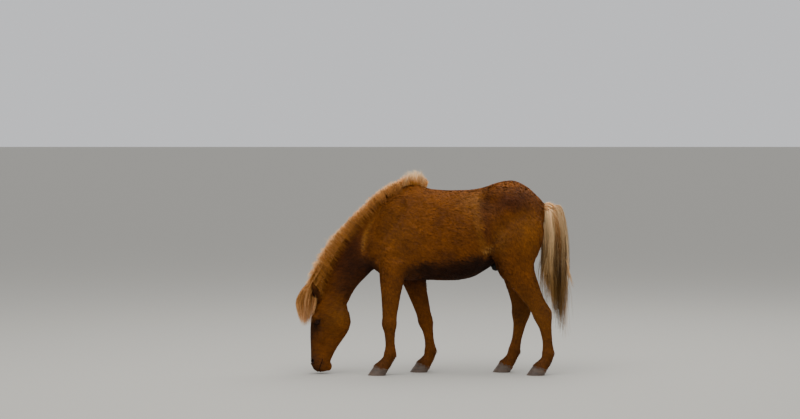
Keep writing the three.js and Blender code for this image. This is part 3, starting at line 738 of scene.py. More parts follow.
# Tendons of the cannons stand off the bone with a groove on each side.
TENDON_GROOVE = 3.2
for name, (_, joints) in LIMBS.items():
    joint = 2 if name.startswith("fore") else 3
    (x0, z0, y0), (x1, z1, y1) = joints[joint], joints[joint + 1]
    t = (z0 - place[:, 2]) / (z0 - z1)
    axis = np.stack([x0 + (x1 - x0) * t, y0 + (y1 - y0) * t], axis=1)
    near = np.linalg.norm(place[:, :2] - axis, axis=1) < 90
    groove = np.exp(-(((place[:, 0] - axis[:, 0] - 12) / 9) ** 2))
    groove = groove * ease(t, 0.12, 0.3) * (1 - ease(t, 0.72, 0.95))
    lift -= TENDON_GROOVE * groove * near
print("relief from", round(lift.min(), 1), "to", round(lift.max(), 1), "mm")

# %% Nostrils and mouth
# Half axes, lean, swollen rim and depth of a nostril, then the depth of the mouth's line and the
# swelling of the lips beside it.
NOSTRIL_AXES, NOSTRIL_LEAN, NOSTRIL_RIM = (9.5, 19.0), 0.42, 3.4
NOSTRIL_DEPTH = np.array([6, -16, 7])
MOUTH_GROOVE, LIP = 3.6, 2.0
c, s = math.cos(NOSTRIL_LEAN), math.sin(NOSTRIL_LEAN)
across = (half[:, 0] - NOSTRIL[0]) * c - (half[:, 2] - NOSTRIL[2]) * s
down = (half[:, 0] - NOSTRIL[0]) * s + (half[:, 2] - NOSTRIL[2]) * c
across = across + 0.018 * down**2
rim = np.hypot(across / NOSTRIL_AXES[0], down / NOSTRIL_AXES[1])
muzzle = (half[:, 1] > 24) & on_head(place) & (half[:, 2] < 170)
hole = muzzle * (1 - ease(rim, 0.45, 1.0))
lift += muzzle * NOSTRIL_RIM * np.exp(-(((rim - 1.25) / 0.3) ** 2))
gap = from_mouth(place)
lips = on_head(place) * (1 - ease(place[:, 2], 100, 126))
lift += lips * (LIP * np.exp(-(((gap - 8) / 5) ** 2)) - MOUTH_GROOVE * np.exp(-((gap / 2.6) ** 2)))
place += normals * lift[:, None]
own_side = np.stack([np.ones(len(half)), np.sign(place[:, 1]), np.ones(len(half))], axis=1)
place += hole[:, None] * NOSTRIL_DEPTH * own_side

# The eyeball needs its room: the skin under the lids goes in behind it.
for side in (-1, 1):
    along, up, out = eye_axes(side)
    local = place - np.array(EYE["centre"]) * (1, side, 1)
    u, v, w = local @ along, local @ up, local @ out
    ratio = np.hypot(u / EYE["half_length"], v / EYE["half_height"])
    inside = (1 - ease(ratio, 2.2, 2.55)) * (w > -5)
    target = np.minimum(w, np.sqrt(np.maximum((EYE["radius"] - 3) ** 2 - u * u - v * v, 16.0)))
    target = np.where(ratio > 1.5, np.minimum(w, np.maximum(target, w - 4)), target)
    place += (inside * (target - w))[:, None] * out
skin.data.vertices.foreach_set("co", metres(place).ravel().astype(np.float32))
skin.data.update()
skin.data.shade_smooth()
print("nostrils, mouth and sockets pressed in")

# %% [markdown]
# ## Ears
# An ear is a rolled leaf of gristle. It is drawn like the body, in slices, with its cup as a second
# form that a Boolean takes out of the first, and is then turned outwards and leant to its place
# with its root inside the head.

# %% Ears
EAR_OUTSIDE = [
    [-17, -22, 17, -22, 16, 0.5, 2, 2, 0], [-21, 0, 21, 0, 20, 0.5, 2, 2, 0],
    [-24, 30, 23, 30, 25, 0.5, 2, 2, 0], [-22, 66, 22, 66, 26, 0.5, 2, 2, 0],
    [-16, 96, 17, 96, 19, 0.5, 2, 2, 0], [-6, 120, 10, 120, 9, 0.5, 2, 2, 0],
    [1, 134, 6, 134, 2, 0.5, 2, 2, 0],
]
EAR_VOXEL = 0.0016
EAR_CUP = [
    [-30, 14, -10, 14, 4, 0.5, 2, 2, 0], [-40, 36, 4, 36, 15, 0.5, 2, 2, 0],
    [-40, 68, 9, 68, 19.5, 0.5, 2, 2, 0], [-34, 96, 7, 96, 14, 0.5, 2, 2, 0],
    [-20, 119, 2, 119, 5, 0.5, 2, 2, 0],
]
EAR_PLACE, EAR_TURN, EAR_LEAN, EAR_OUT = (-838, 50, 548), 62, -22, -12


def ear_motion(side):
    """Turns the cup outwards, leans the ear and puts it in its place, in drawn millimetres."""
    outwards = Matrix.Rotation(math.radians(side * EAR_OUT), 4, "X")
    lean = Matrix.Rotation(math.radians(EAR_LEAN), 4, "Y") @ outwards
    turn = Matrix.Rotation(math.radians(side * EAR_TURN), 4, "Z")
    x, y, z = EAR_PLACE
    return Matrix.Translation((x, side * y, z)) @ lean @ turn


def moved(points, motion):
    """The points after a motion."""
    return points @ np.array(motion.to_3x3()).T + np.array(motion.translation)


def face_outwards(obj):
    """Turns the object's faces outwards, and leaves it selected and active."""
    select_only(obj)
    bpy.ops.object.mode_set(mode="EDIT")
    bpy.ops.mesh.select_all(action="SELECT")
    bpy.ops.mesh.normals_make_consistent(inside=False)
    bpy.ops.object.mode_set(mode="OBJECT")


def ear(side):
    """One ear: a leaf with the cup taken out of it."""
    motion, label = ear_motion(side), side_name(side)
    parts = []
    for rows, grow, kind in ((EAR_OUTSIDE, -0.8, "leaf"), (EAR_CUP, 0.0, "cup")):
        rings = moved(sections(refine(rows, 5), 40, grow), motion)
        parts.append(body_form(f"ear_{kind}_{label}", rings))
    for part in parts:
        face_outwards(part)
    leaf, cup = parts
    select_only(leaf)
    scoop = leaf.modifiers.new("cup", "BOOLEAN")
    scoop.operation, scoop.solver, scoop.object = "DIFFERENCE", "EXACT", cup
    apply(scoop)
    bpy.data.objects.remove(cup)
    even = leaf.modifiers.new("even faces", "REMESH")
    even.mode, even.voxel_size = "VOXEL", EAR_VOXEL
    apply(even)
    relax(leaf.data, np.ones(len(leaf.data.vertices)), 4)
    leaf.data.shade_smooth()
    leaf.name = leaf.data.name = f"ear_skin_{label}"
    return leaf


ears = {side: ear(side) for side in (-1, 1)}
print("ear faces", len(ears[-1].data.polygons))

# %% [markdown]
# ## Eyes
# A horse's eyeball is large and dark, with an oval pupil that lies level when the head is up. The
# ball is a sphere whose front swells a little for the cornea.

# %% Eyes
CORNEA_RISE = 0.0009


def eyeball(side):
    """One eye, with the swelling of its cornea."""
    centre = Vector(metres(np.array(EYE["centre"]) * (1, side, 1)))
    bpy.ops.mesh.primitive_uv_sphere_add(
        segments=48, ring_count=32, radius=EYE["radius"] / 1000, location=centre,
        rotation=(math.pi / 2, 0, 0),
    )
    bpy.ops.object.transform_apply(location=True, rotation=True, scale=True)
    ball = bpy.context.object
    ball.name = ball.data.name = f"eyeball_{side_name(side)}"
    for vertex in ball.data.vertices:
        out = (vertex.co - centre).normalized()
        front = max(0.0, out.y * side)
        vertex.co += out * CORNEA_RISE * front**6
    ball.data.shade_smooth()
    return ball


eyes = {side: eyeball(side) for side in (-1, 1)}
print("eyeballs", [e.name for e in eyes.values()])

# %% [markdown]
# ## Hooves
# Horn grows down from the coronet in rings, so a hoof wall is never quite smooth. The wall is drawn
# as slices from the sole to the coronet, with a soft ridge for each growth ring and a thicker band
# at the top. The sole stays flat at the same level under all four feet.

# %% Hooves
GROWTH_RINGS = 9


def hoof(name, joints):
    """The horn of one hoof, from its flat sole up to the coronet."""
    x, _, y = joints[-1]
    h = HOOF

    def at(height, grow):
        """A slice of the wall: height 0 is the sole and 1 the coronet."""
        top = np.array(coronet(joints), float)
        low = np.array([x + h["toe"], 0, x + h["heel"], 0, h["half_width"], 0.55, 2.2, 2.8, y])
        row = low + (top - low) * height
        row[0] -= grow
        row[2] += grow
        row[4] += grow
        return row

    rows = [at(0, -h["edge"]), at(0, -1.2)]
    for height in np.linspace(0.02, 1, 46):
        ridge = 0.55 * math.sin(2 * math.pi * GROWTH_RINGS * height) * (1 - 0.4 * height)
        band = 1.6 * math.exp(-(((height - 0.93) / 0.05) ** 2))
        rows.append(at(height, ridge + band - 1.6 * float(ease(height, 0.9, 1.0)) - 0.6))
    rows.append(at(1, -9))
    made = body_form(f"{name}_wall", sections(rows, 72))
    made.data.shade_smooth()
    face_outwards(made)
    bpy.ops.object.shade_smooth_by_angle(angle=math.radians(50))
    return made


hooves = {name: hoof(name, joints) for name, (_, joints) in LIMBS.items()}
print("hoof faces", len(hooves["foreleg_left"].data.polygons))

# %% [markdown]
# ## Sheath
# Under the belly of a gelding hangs a fold of bare black skin. It starts as a ball, which two soft
# folds are pressed into.

# %% Sheath
SHEATH_CENTRE, SHEATH_RADII, SHEATH_LEAN = (463, -4, 799), (38, 28, 42), 0.3
SHEATH_FOLD = 0.0028
sheath = swelling(SHEATH_CENTRE, SHEATH_RADII, SHEATH_LEAN, 0.5)
sheath.name = sheath.data.name = "sheath_skin"
bpy.ops.object.mode_set(mode="EDIT")
bpy.ops.mesh.select_all(action="SELECT")
bpy.ops.mesh.subdivide(number_cuts=1, smoothness=1)
bpy.ops.object.mode_set(mode="OBJECT")
for vertex in sheath.data.vertices:
    x, y, z = drawn(vertex.co)
    lower = math.exp(-(((z - 788 - 0.2 * (x - 474)) / 5) ** 2))
    upper = math.exp(-(((z - 806 + 0.1 * y) / 4) ** 2))
    vertex.co -= vertex.normal * SHEATH_FOLD * (lower + 0.6 * upper)
sheath.data.shade_smooth()
print("sheath faces", len(sheath.data.polygons))

# %% [markdown]
# ## An unwrap of the skin
# Skin, ears, eyes, hooves, sheath and lids each get a flat map of their own surface, named OFBake.
# The map is cut where the surface turns, without regard to any camera, and each tuft of hair later
# takes the place of its root on it.

# %% Unwrap
def unwrap(obj):
    """A map of the object's own surface, named OFBake."""
    select_only(obj)
    while obj.data.uv_layers:
        obj.data.uv_layers.remove(obj.data.uv_layers[0])
    obj.data.uv_layers.new(name="OFBake")
    bpy.ops.object.mode_set(mode="EDIT")
    bpy.ops.mesh.select_all(action="SELECT")
    bpy.ops.uv.smart_project(angle_limit=math.radians(66), island_margin=0.004)
    bpy.ops.object.mode_set(mode="OBJECT")


for obj in [skin, *ears.values(), *eyes.values(), *hooves.values(), sheath, *lids]:
    unwrap(obj)
print("unwrapped", len(skin.data.loops), "corners of the skin")

# %% [markdown]
# ## Markings and painted light
# A chestnut is one colour with many shades: darker on the croup, sooty below the knees. Painted
# light and shade are mixed into the same colour: the top of the back and of the croup, the fold of
# the flank and the shoulder's edge are lighter with painted highlight; the chest and the lower neck
# are darker with painted shade, the belly is darker coat deepened with painted shade, and the face
# is darker with the painted shadow of the forelock. Each shade is a soft patch with its place and
# size, and slow waves mottle the whole. The same function colours the skin and each tuft that grows
# from it, so that both always agree.

# %% Markings and painted light
CHESTNUT = "#6c3a08"
COAT_SHADES_AND_PAINTED_LIGHT = [
    # place, radii, colour, strength, edge: 1 is soft and 3 is clear
    # Painted highlight: the top of the back is lighter where the light from above falls.
    ((150, 0, 1410), (460, 260, 130), "#8b5018", 0.75, 1),
    ((-180, 0, 1420), (110, 120, 60), "#6e3a0c", 0.6, 1),
    # Painted highlight on the upper flank, below the lit back.
    ((250, 180, 1270), (90, 120, 90), "#8c5a22", 0.4, 1),
    ((600, 205, 1280), (190, 150, 90), "#3a1604", 0.9, 1.5),
    ((600, 205, 1090), (90, 90, 100), "#6a3c0c", 0.6, 1),
    # Painted highlight along the top of the croup, over its darker coat.
    ((560, 0, 1452), (240, 250, 62), "#8a4c0e", 0.85, 1),
    ((690, 200, 1060), (110, 90, 200), "#7b4912", 0.6, 1),
    ((470, 220, 1000), (60, 80, 90), "#85531a", 0.5, 1),
    # Darker coat under the belly, deepened with painted shade where the body hides the light from above.
    ((-92, 120, 765), (132, 260, 84), "#190802", 0.96, 2),
    ((150, 120, 760), (240, 260, 118), "#210d04", 0.97, 2),
    ((330, 120, 810), (150, 220, 96), "#1d0b04", 0.95, 2),
    ((430, 0, 800), (150, 140, 90), "#1a0b05", 0.85, 1),
    # Painted highlight along the fold of the flank.
    ((385, 200, 932), (46, 80, 13), "#b98a4a", 0.6, 1),
    ((80, 260, 905), (60, 60, 26), "#30150a", 0.5, 1),
    # Painted shade under the chest and along the lower neck, which face the ground.
    ((-200, 0, 700), (160, 200, 70), "#33160a", 0.7, 1),
    ((-620, 60, 960), (110, 110, 200), "#3c1a05", 0.85, 1.5),
    ((-560, 30, 780), (130, 130, 140), "#250d04", 0.9, 1.5),
    ((-470, 60, 800), (70, 110, 90), "#200b03", 0.9, 1.5),
    ((-660, 50, 620), (80, 90, 100), "#2e1305", 0.8, 1),
    ((-690, 60, 800), (100, 110, 150), "#3c1a05", 0.85, 1),
    ((-300, 190, 1050), (170, 90, 260), "#70400e", 0.6, 1),
    # Painted shadow of the forelock down the front of the face and round the eye.
    ((-905, 0, 330), (56, 64, 220), "#2c1505", 0.92, 1),
    ((-858, 84, 370), (52, 50, 56), "#1c0d05", 0.95, 1),
    ((-880, 30, 60), (60, 60, 70), "#2c180c", 0.85, 1),
    ((-700, 90, 420), (86, 60, 120), "#754510", 0.75, 1),
    ((-864, 66, 604), (34, 34, 58), "#271306", 0.9, 1.5),
    ((-330, 122, 480), (160, 90, 260), "#5f370f", 0.5, 1),
    ((700, 120, 420), (240, 90, 260), "#6a4217", 0.6, 1),
    ((-300, 122, 90), (420, 90, 70), "#46290f", 0.6, 1),
    ((720, 118, 90), (300, 90, 70), "#46290f", 0.55, 1),
]
# Strips along the edges of shoulder and haunch: the light strip on the shoulder's edge and the one in front
# of the haunch's edge are painted highlight, the dark strip in front of the shoulder is painted shade, and
# the dark strip behind the haunch's edge is partly the border of the winter coat and partly painted shade.
EDGE_STRIPS_COAT_AND_PAINTED_LIGHT = [
    # The line of a muscle, then how far behind it the strip lies, its half width, colour, strength
    (HAUNCH, 36, 46, "#3c1a07", 0.5), (HAUNCH, -30, 34, "#8c5a22", 0.35),
    (SHOULDER, 14, 18, "#ac7630", 0.85), (SHOULDER, -34, 36, "#371604", 0.75),
]
# Edges of shades are ragged by so many millimetres, in waves of so many a millimetre.
EDGE_NOISE_MM, EDGE_WAVES = 13, (0.010, 0.030, 0.055)
# Each mottle: how many waves in two millimetres, and how strong.
MOTTLE = ((0.021, 0.13), (0.055, 0.10), (0.14, 0.07))


def waves(points, pitch, seed, count=7):
    """Slow random waves between about -1 and 1; pitch is how many a millimetre holds."""
    rng = np.random.default_rng(seed)
    total = np.zeros(len(points))
    for _ in range(count):
        way = rng.normal(size=3)
        way *= pitch * rng.uniform(0.6, 1.5) / np.linalg.norm(way)
        total += np.sin(points @ way * 2 * math.pi + rng.uniform(0, 6.3))
    return total / math.sqrt(count) / 1.1


def coat_colour_and_painted_light(points):
    """The linear colour of the coat at each point of the drawing, with painted highlight and shade."""
    # Ragged edges: each point asks for its colour a little beside itself.
    ragged = sum(waves(points, pitch, 300 + i) for i, pitch in enumerate(EDGE_WAVES))
    half = mirrored(points) + EDGE_NOISE_MM * ragged[:, None] * (0.5, 0, 1)
    colour = np.tile(np.array(linear(CHESTNUT)), (len(points), 1))
    for centre, radii, shade, strength, edge in COAT_SHADES_AND_PAINTED_LIGHT:
        away = (((half - centre) / np.array(radii)) ** 2).sum(axis=1)
        colour += (strength * np.exp(-(away**edge)))[:, None] * (np.array(linear(shade)) - colour)
    for line, offset, width, shade, strength in EDGE_STRIPS_COAT_AND_PAINTED_LIGHT:
        weight = strength * np.exp(-(((behind_line(half, line) - offset) / width) ** 2))
        weight *= ease(half[:, 1], 50, 120)
        ends = ease(half[:, 2], line[-1][1] - 30, line[-1][1] + 60)
        ends *= 1 - ease(half[:, 2], line[0][1] - 60, line[0][1])
        weight *= ends
        colour += weight[:, None] * (np.array(linear(shade)) - colour)
    bright = np.ones(len(points))
    for i, (pitch, amount) in enumerate(MOTTLE):
        bright += amount * waves(points * (0.6, 1, 1), pitch / 2, 100 + i)
    return colour * np.clip(bright, 0.55, 1.5)[:, None]


def paint_points(mesh, colours, name="coat"):
    """Keeps one linear colour for each vertex."""
    layer = mesh.color_attributes.new(name=name, type="FLOAT_COLOR", domain="POINT")
    rgba = np.hstack([colours, np.ones((len(colours), 1))])
    layer.data.foreach_set("color", rgba.ravel().astype(np.float32))


def from_eye(points):
    """How many times the eye's own size a point lies from the middle of the eye."""
    local = mirrored(points) - np.array(EYE["centre"])
    along, up, _ = eye_axes(1)
    return np.hypot(local @ along / EYE["half_length"], local @ up / EYE["half_height"])


# Skin is darker than the hair over it, and that of ears and lids darker still.
SKIN_TINT, EAR_TINT = 0.78, 0.7
MUZZLE_SKIN, EAR_CUP_SKIN, LID_SKIN = "#241713", "#150b06", "#160c06"
skin_place = drawn(points_of(skin.data))
skin_colour = coat_colour_and_painted_light(skin_place) * SKIN_TINT
mirrored_skin = mirrored(skin_place)
bare = np.exp(-((np.linalg.norm((mirrored_skin - NOSTRIL) / (18, 30, 26), axis=1)) ** 4))
lips = np.exp(-((from_mouth(skin_place) / 6) ** 2)) * (skin_place[:, 2] < 125) * on_head(skin_place)
bare = np.maximum(bare, lips)
skin_colour += (0.9 * bare)[:, None] * (np.array(linear(MUZZLE_SKIN)) - skin_colour)
paint_points(skin.data, skin_colour)
# The cup of an ear is dark inside; the cup opens along the leaf's own -X.
for side, obj in ears.items():
    facing = points_of(obj.data, key="normal") @ np.array(ear_motion(side).to_3x3())
    cup = ease(-facing[:, 0], 0.1, 0.5)[:, None]
    furred = coat_colour_and_painted_light(drawn(points_of(obj.data))) * EAR_TINT
    paint_points(obj.data, furred + 0.9 * cup * (np.array(linear(EAR_CUP_SKIN)) - furred))
for obj in lids:
    lid_place = drawn(points_of(obj.data))
    edge = (1 - ease(from_eye(lid_place), 1.1, 1.9))[:, None]
    furred = coat_colour_and_painted_light(lid_place) * EAR_TINT
    paint_points(obj.data, furred * (1 - edge) + edge * np.array(linear(LID_SKIN)))
print("markings on", len(skin_place), "points of the skin")

# %% Materials of skin and hair
def painted_colour(material, noise, contrast):
    """The colour painted on the mesh, made darker and lighter by a noise."""
    painted = add(material, "ShaderNodeVertexColor", layer_name="coat")
    vary = add(
        material, "ShaderNodeMapRange",
        {"Value": noise.outputs["Fac"], "To Min": 1 - contrast, "To Max": 1 + contrast},
    )
    return add(
        material, "ShaderNodeVectorMath",
        {0: painted.outputs["Color"], "Scale": vary.outputs["Result"]}, operation="SCALE",
    )


# Chestnut hair: each hair is a glossy tube, so a coat has a soft sheen along its lie and looks
# lighter at its edge. What grows is never one colour, so a fine noise breaks it up.
HAIR_NOISE_MM = 1.4


def hair_material(name, rough, sheen, contrast=0.35):
    """Hair: soft sheen, a weak highlight, and the colour painted on the mesh."""
    made = material_for(name)
    where = add(made, "ShaderNodeTexCoord")
    noise = add(
        made, "ShaderNodeTexNoise",
        {"Vector": where.outputs["Object"], "Scale": 1000 / HAIR_NOISE_MM, "Detail": 2.0},
    )
    tinted = painted_colour(made, noise, contrast)
    shader = add(
        made, "ShaderNodeBsdfPrincipled",
        {
            "Base Color": tinted.outputs["Vector"], "Roughness": rough, "Sheen Weight": sheen,
            "Sheen Roughness": 0.45, "Sheen Tint": (*linear("#e0a060"), 1), "Specular IOR Level": 0.12,
        },
    )
    return finish_material(made, shader)


coat_hair = hair_material("horse coat, chestnut hair", 0.6, 0.05)
long_hair = hair_material("horse mane and tail, flaxen hair", 0.5, 0.05, contrast=0.2)


def skin_material(name, pore_mm, depth, rough, shine=0.12):
    """Skin with fine pores that bump it and vary its painted colour; roughness and shine are given."""
    made = material_for(name)
    where = add(made, "ShaderNodeTexCoord")
    pores = add(
        made, "ShaderNodeTexNoise",
        {"Vector": where.outputs["Object"], "Scale": 1000 / pore_mm, "Detail": 4.0, "Roughness": 0.6},
    )
    bump = add(
        made, "ShaderNodeBump", {"Height": pores.outputs["Fac"], "Strength": 0.6, "Distance": depth / 1000}
    )
    tinted = painted_colour(made, pores, 0.3)
    shader = add(
        made, "ShaderNodeBsdfPrincipled",
        {
            "Base Color": tinted.outputs["Vector"], "Roughness": rough, "Specular IOR Level": shine,
            "Normal": bump.outputs["Normal"],
        },
    )
    return finish_material(made, shader)


skin.data.materials.append(skin_material("horse skin under short hair", 2.5, 0.8, 0.7))
lid_skin = skin_material("horse eyelid, dark bare skin", 1.2, 0.3, 0.5, 0.06)
for obj in lids:
    obj.data.materials.append(lid_skin)
for obj in ears.values():
    obj.data.materials.append(skin.data.materials[0])

# %% Materials of eye, horn and sheath
PUPIL_HALF = (0.0075, 0.0042)


def ramp(material, value, stops):
    """A colour ramp; each stop is a place and a hex colour, and the first two are the ends."""
    made = add(material, "ShaderNodeValToRGB", {"Fac": value})
    elements = made.color_ramp.elements
    for k, (position, colour) in enumerate(stops):
        stop = elements[k] if k < 2 else elements.new(position)
        stop.position, stop.color = position, (*linear(colour), 1)
    return made


def sum_of(material, one, other):
    """A node that adds two outputs."""
    return add(material, "ShaderNodeMath", {0: one, 1: other}, operation="ADD")


def eye_material():
    """A wet cornea over a deep brown iris and a level, oval pupil."""
    made = material_for("horse eye, wet cornea")
    where = add(made, "ShaderNodeTexCoord")
    apart = add(made, "ShaderNodeSeparateXYZ", {"Vector": where.outputs["Object"]})
    centre = metres(EYE["centre"])
    c, s = math.cos(EYE["slant"]), math.sin(EYE["slant"])
    x = add(made, "ShaderNodeMath", {0: apart.outputs["X"], 1: float(centre[0])}, operation="SUBTRACT")
    z = add(made, "ShaderNodeMath", {0: apart.outputs["Z"], 1: float(centre[2])}, operation="SUBTRACT")
    squares = []
    for cx, cz, size in ((c, s, PUPIL_HALF[0]), (-s, c, PUPIL_HALF[1])):
        a = add(made, "ShaderNodeMath", {0: x.outputs[0], 1: cx / size}, operation="MULTIPLY")
        b = add(made, "ShaderNodeMath", {0: z.outputs[0], 1: cz / size}, operation="MULTIPLY")
        both = sum_of(made, a.outputs[0], b.outputs[0])
        squares.append(add(made, "ShaderNodeMath", {0: both.outputs[0], 1: 2.0}, operation="POWER"))
    pupil = sum_of(made, squares[0].outputs[0], squares[1].outputs[0])
    fibres = add(
        made, "ShaderNodeTexNoise", {"Vector": where.outputs["Object"], "Scale": 420.0, "Detail": 4.0}
    )
    noisy = sum_of(made, fibres.outputs["Fac"], pupil.outputs[0])
    iris = ramp(made, noisy.outputs[0], ((0.0, "#060403"), (1.0, "#331a0c"), (0.9, "#080504")))
    shader = add(
        made, "ShaderNodeBsdfPrincipled",
        {
            "Base Color": iris.outputs["Color"], "Roughness": 0.3, "Specular IOR Level": 0.0,
            "Coat Weight": 0.45, "Coat Roughness": 0.02, "Coat IOR": 1.376,
        },
    )
    return finish_material(made, shader)


def horn_material():
    """Keratin grows in rings across and fine tubes down; dark, with a dull wax-like gloss."""
    made = material_for("keratin hoof horn")
    where = add(made, "ShaderNodeTexCoord")
    # Noise that is stretched down gives the tubes, and noise stretched around gives the rings.
    tall = add(made, "ShaderNodeMapping", {"Vector": where.outputs["Object"], "Scale": (1.0, 1.0, 0.12)})
    tubes = add(made, "ShaderNodeTexNoise", {"Vector": tall.outputs["Vector"], "Scale": 520.0, "Detail": 3.0})
    flat = add(made, "ShaderNodeMapping", {"Vector": where.outputs["Object"], "Scale": (0.15, 0.15, 1.0)})
    bands = add(made, "ShaderNodeTexNoise", {"Vector": flat.outputs["Vector"], "Scale": 95.0, "Detail": 2.0})
    both = sum_of(made, tubes.outputs["Fac"], bands.outputs["Fac"])
    grain = add(made, "ShaderNodeMath", {0: both.outputs[0], 1: 0.5}, operation="MULTIPLY")
    horn_colour = ramp(made, grain.outputs[0], ((0.32, "#2a1f18"), (0.68, "#6d5744")))
    bump = add(
        made, "ShaderNodeBump", {"Height": grain.outputs[0], "Strength": 0.5, "Distance": 0.0008}
    )
    shader = add(
        made, "ShaderNodeBsdfPrincipled",
        {
            "Base Color": horn_colour.outputs["Color"], "Roughness": 0.5, "IOR": 1.56,
            "Normal": bump.outputs["Normal"],
        },
    )
    return finish_material(made, shader)


eye_look, horn = eye_material(), horn_material()
for obj in eyes.values():
    obj.data.materials.append(eye_look)
for obj in hooves.values():
    obj.data.materials.append(horn)
paint_points(sheath.data, np.tile(linear("#0e0908"), (len(sheath.data.vertices), 1)))
sheath.data.materials.append(skin_material("horse sheath, bare black skin", 1.8, 0.5, 0.5, 0.2))
print("materials", len(bpy.data.materials))

# %% [markdown]
# ## The lie of the coat
# Hair has a direction at each place: back along the trunk, down the legs, down the face and back
# over the cheeks. A few places are enough to say so, each with its direction, hair length and how
# far the tips stand off; between them the values blend. The coat is shortest on the face and the
# feet and longest under the jaw, under the belly and behind the fetlocks.

# %% The lie of the coat
LIE = [
    # place, reach, direction (X, outwards, Z), length, tips stand off
    ((-900, 0, 430), 50, (0, 0.2, -1), 16, 2), ((-905, 0, 250), 60, (0.05, 0.1, -1), 10, 1.2),
    ((-890, 30, 90), 45, (0.3, 0.2, -1), 7, 1), ((-850, 30, 30), 40, (0.6, 0, -0.4), 8, 2),
    ((-820, 70, 250), 55, (0.5, 0, -0.9), 10, 1.2), ((-720, 90, 400), 80, (0.9, 0, 0.1), 16, 2),
    ((-849, 88, 352), 26, (0.8, 0, -0.5), 9, 1.5), ((-852, 88, 425), 26, (0.7, 0.2, 0.4), 11, 1.5),
    ((-775, 10, 60), 40, (0.7, 0, -0.5), 17, 4), ((-655, 20, 250), 60, (0.8, 0, 0.1), 20, 4),
    ((-690, 10, 150), 50, (0.7, 0, -0.2), 18, 4), ((-800, 70, 560), 60, (0.75, 0.1, 0.5), 22, 3),
    ((-862, 62, 610), 42, (-0.34, 0.12, 0.93), 13, 1.5),
    ((-740, 45, 800), 90, (0.6, 0.35, 0.45), 25, 4),
    ((-620, 90, 850), 110, (0.75, 0.1, 0.35), 25, 3.5),
    ((-640, 30, 540), 70, (0.75, 0, 0.4), 28, 5), ((-540, 60, 720), 100, (0.85, 0.1, 0.2), 26, 4),
    ((-430, 130, 1050), 130, (0.9, 0.1, -0.15), 26, 4),
    ((-250, 60, 1340), 110, (0.85, 0.4, -0.25), 26, 3.5),
    ((-300, 170, 1000), 130, (0.6, 0, -0.75), 26, 3.5),
    ((-440, 20, 900), 110, (0.15, 0.5, -0.9), 30, 5), ((-300, 60, 740), 90, (0.5, 0, -0.9), 28, 5),
    ((80, 250, 1050), 220, (0.9, 0, -0.4), 28, 4),
    ((80, 60, 1350), 180, (0.95, 0.35, -0.1), 26, 3.5),
    ((80, 90, 700), 180, (0.95, 0.1, -0.2), 36, 7),
    ((400, 215, 1000), 110, (0.5, 0.1, -0.8), 30, 5),
    ((420, 120, 830), 90, (0.8, 0.2, -0.4), 32, 6),
    ((560, 60, 1420), 150, (0.75, 0.6, -0.3), 26, 3.5),
    ((620, 220, 1130), 150, (0.45, 0, -0.9), 27, 4), ((790, 80, 1150), 90, (0.1, 0.3, -1), 28, 4.5),
    ((690, 130, 680), 110, (0.3, 0, -1), 24, 4), ((800, 118, 450), 90, (0.15, 0, -1), 18, 2.5),
    ((650, 118, 450), 90, (0.15, 0, -1), 18, 2.5), ((830, 118, 250), 80, (0.1, 0, -1), 16, 2),
    ((605, 118, 250), 80, (0.1, 0, -1), 16, 2), ((-290, 122, 560), 120, (0.1, 0, -1), 20, 3),
    ((-100, 122, 560), 120, (0.1, 0, -1), 20, 3), ((-320, 122, 260), 90, (0.1, 0, -1), 15, 2),
    ((-40, 122, 260), 90, (0.1, 0, -1), 15, 2), ((-340, 122, 90), 60, (0, 0.2, -1), 14, 2),
    ((-40, 122, 90), 60, (0, 0.2, -1), 14, 2), ((810, 118, 90), 60, (0, 0.2, -1), 14, 2),
    ((570, 118, 90), 60, (0, 0.2, -1), 14, 2),
]
lie_place = np.array([row[0] for row in LIE], float)
lie_reach = np.array([row[1] for row in LIE], float)
lie_way = np.array([np.array(row[2], float) / np.linalg.norm(row[2]) for row in LIE])
lie_size = np.array([row[3:] for row in LIE], float)


def lie_of_coat(points):
    """Direction, length and standing height of the hair at points of the drawing."""
    half = mirrored(points)
    apart = np.linalg.norm(half[:, None] - lie_place[None], axis=2) / lie_reach
    weight = 1 / (0.15 + apart) ** 4
    weight /= weight.sum(axis=1, keepdims=True)
    way = weight @ lie_way
    way[:, 1] *= np.sign(points[:, 1]) + (points[:, 1] == 0)
    return way, *(weight @ lie_size).T


print("places of the lie", len(LIE))

# %% Mesh from arrays
def mesh_of(name, points, faces, uv, colours, material):
    """A piece from arrays of drawn points and triangles or quads, with its map and colours."""
    mesh = bpy.data.meshes.new(name)
    corners = faces.shape[1]
    mesh.vertices.add(len(points))
    mesh.vertices.foreach_set("co", metres(points).ravel().astype(np.float32))
    mesh.loops.add(faces.size)
    mesh.loops.foreach_set("vertex_index", faces.ravel().astype(np.int32))
    mesh.polygons.add(len(faces))
    mesh.polygons.foreach_set("loop_start", (np.arange(len(faces)) * corners).astype(np.int32))
    mesh.update(calc_edges=True)
    layer = mesh.uv_layers.new(name="OFBake")
    layer.data.foreach_set("uv", uv[faces.ravel()].ravel().astype(np.float32))
    paint_points(mesh, colours)
    mesh.materials.append(material)
    mesh.shade_smooth()
    return linked(mesh)


# %% Roots on a surface
def triangles_of(obj):
    """The three vertices and the three corners of each triangle of the object."""
    mesh = obj.data
    mesh.calc_loop_triangles()
    count = len(mesh.loop_triangles)
    verts, loops = np.empty(count * 3, np.int32), np.empty(count * 3, np.int32)
    mesh.loop_triangles.foreach_get("vertices", verts)
    mesh.loop_triangles.foreach_get("loops", loops)
    return verts.reshape(-1, 3), loops.reshape(-1, 3)


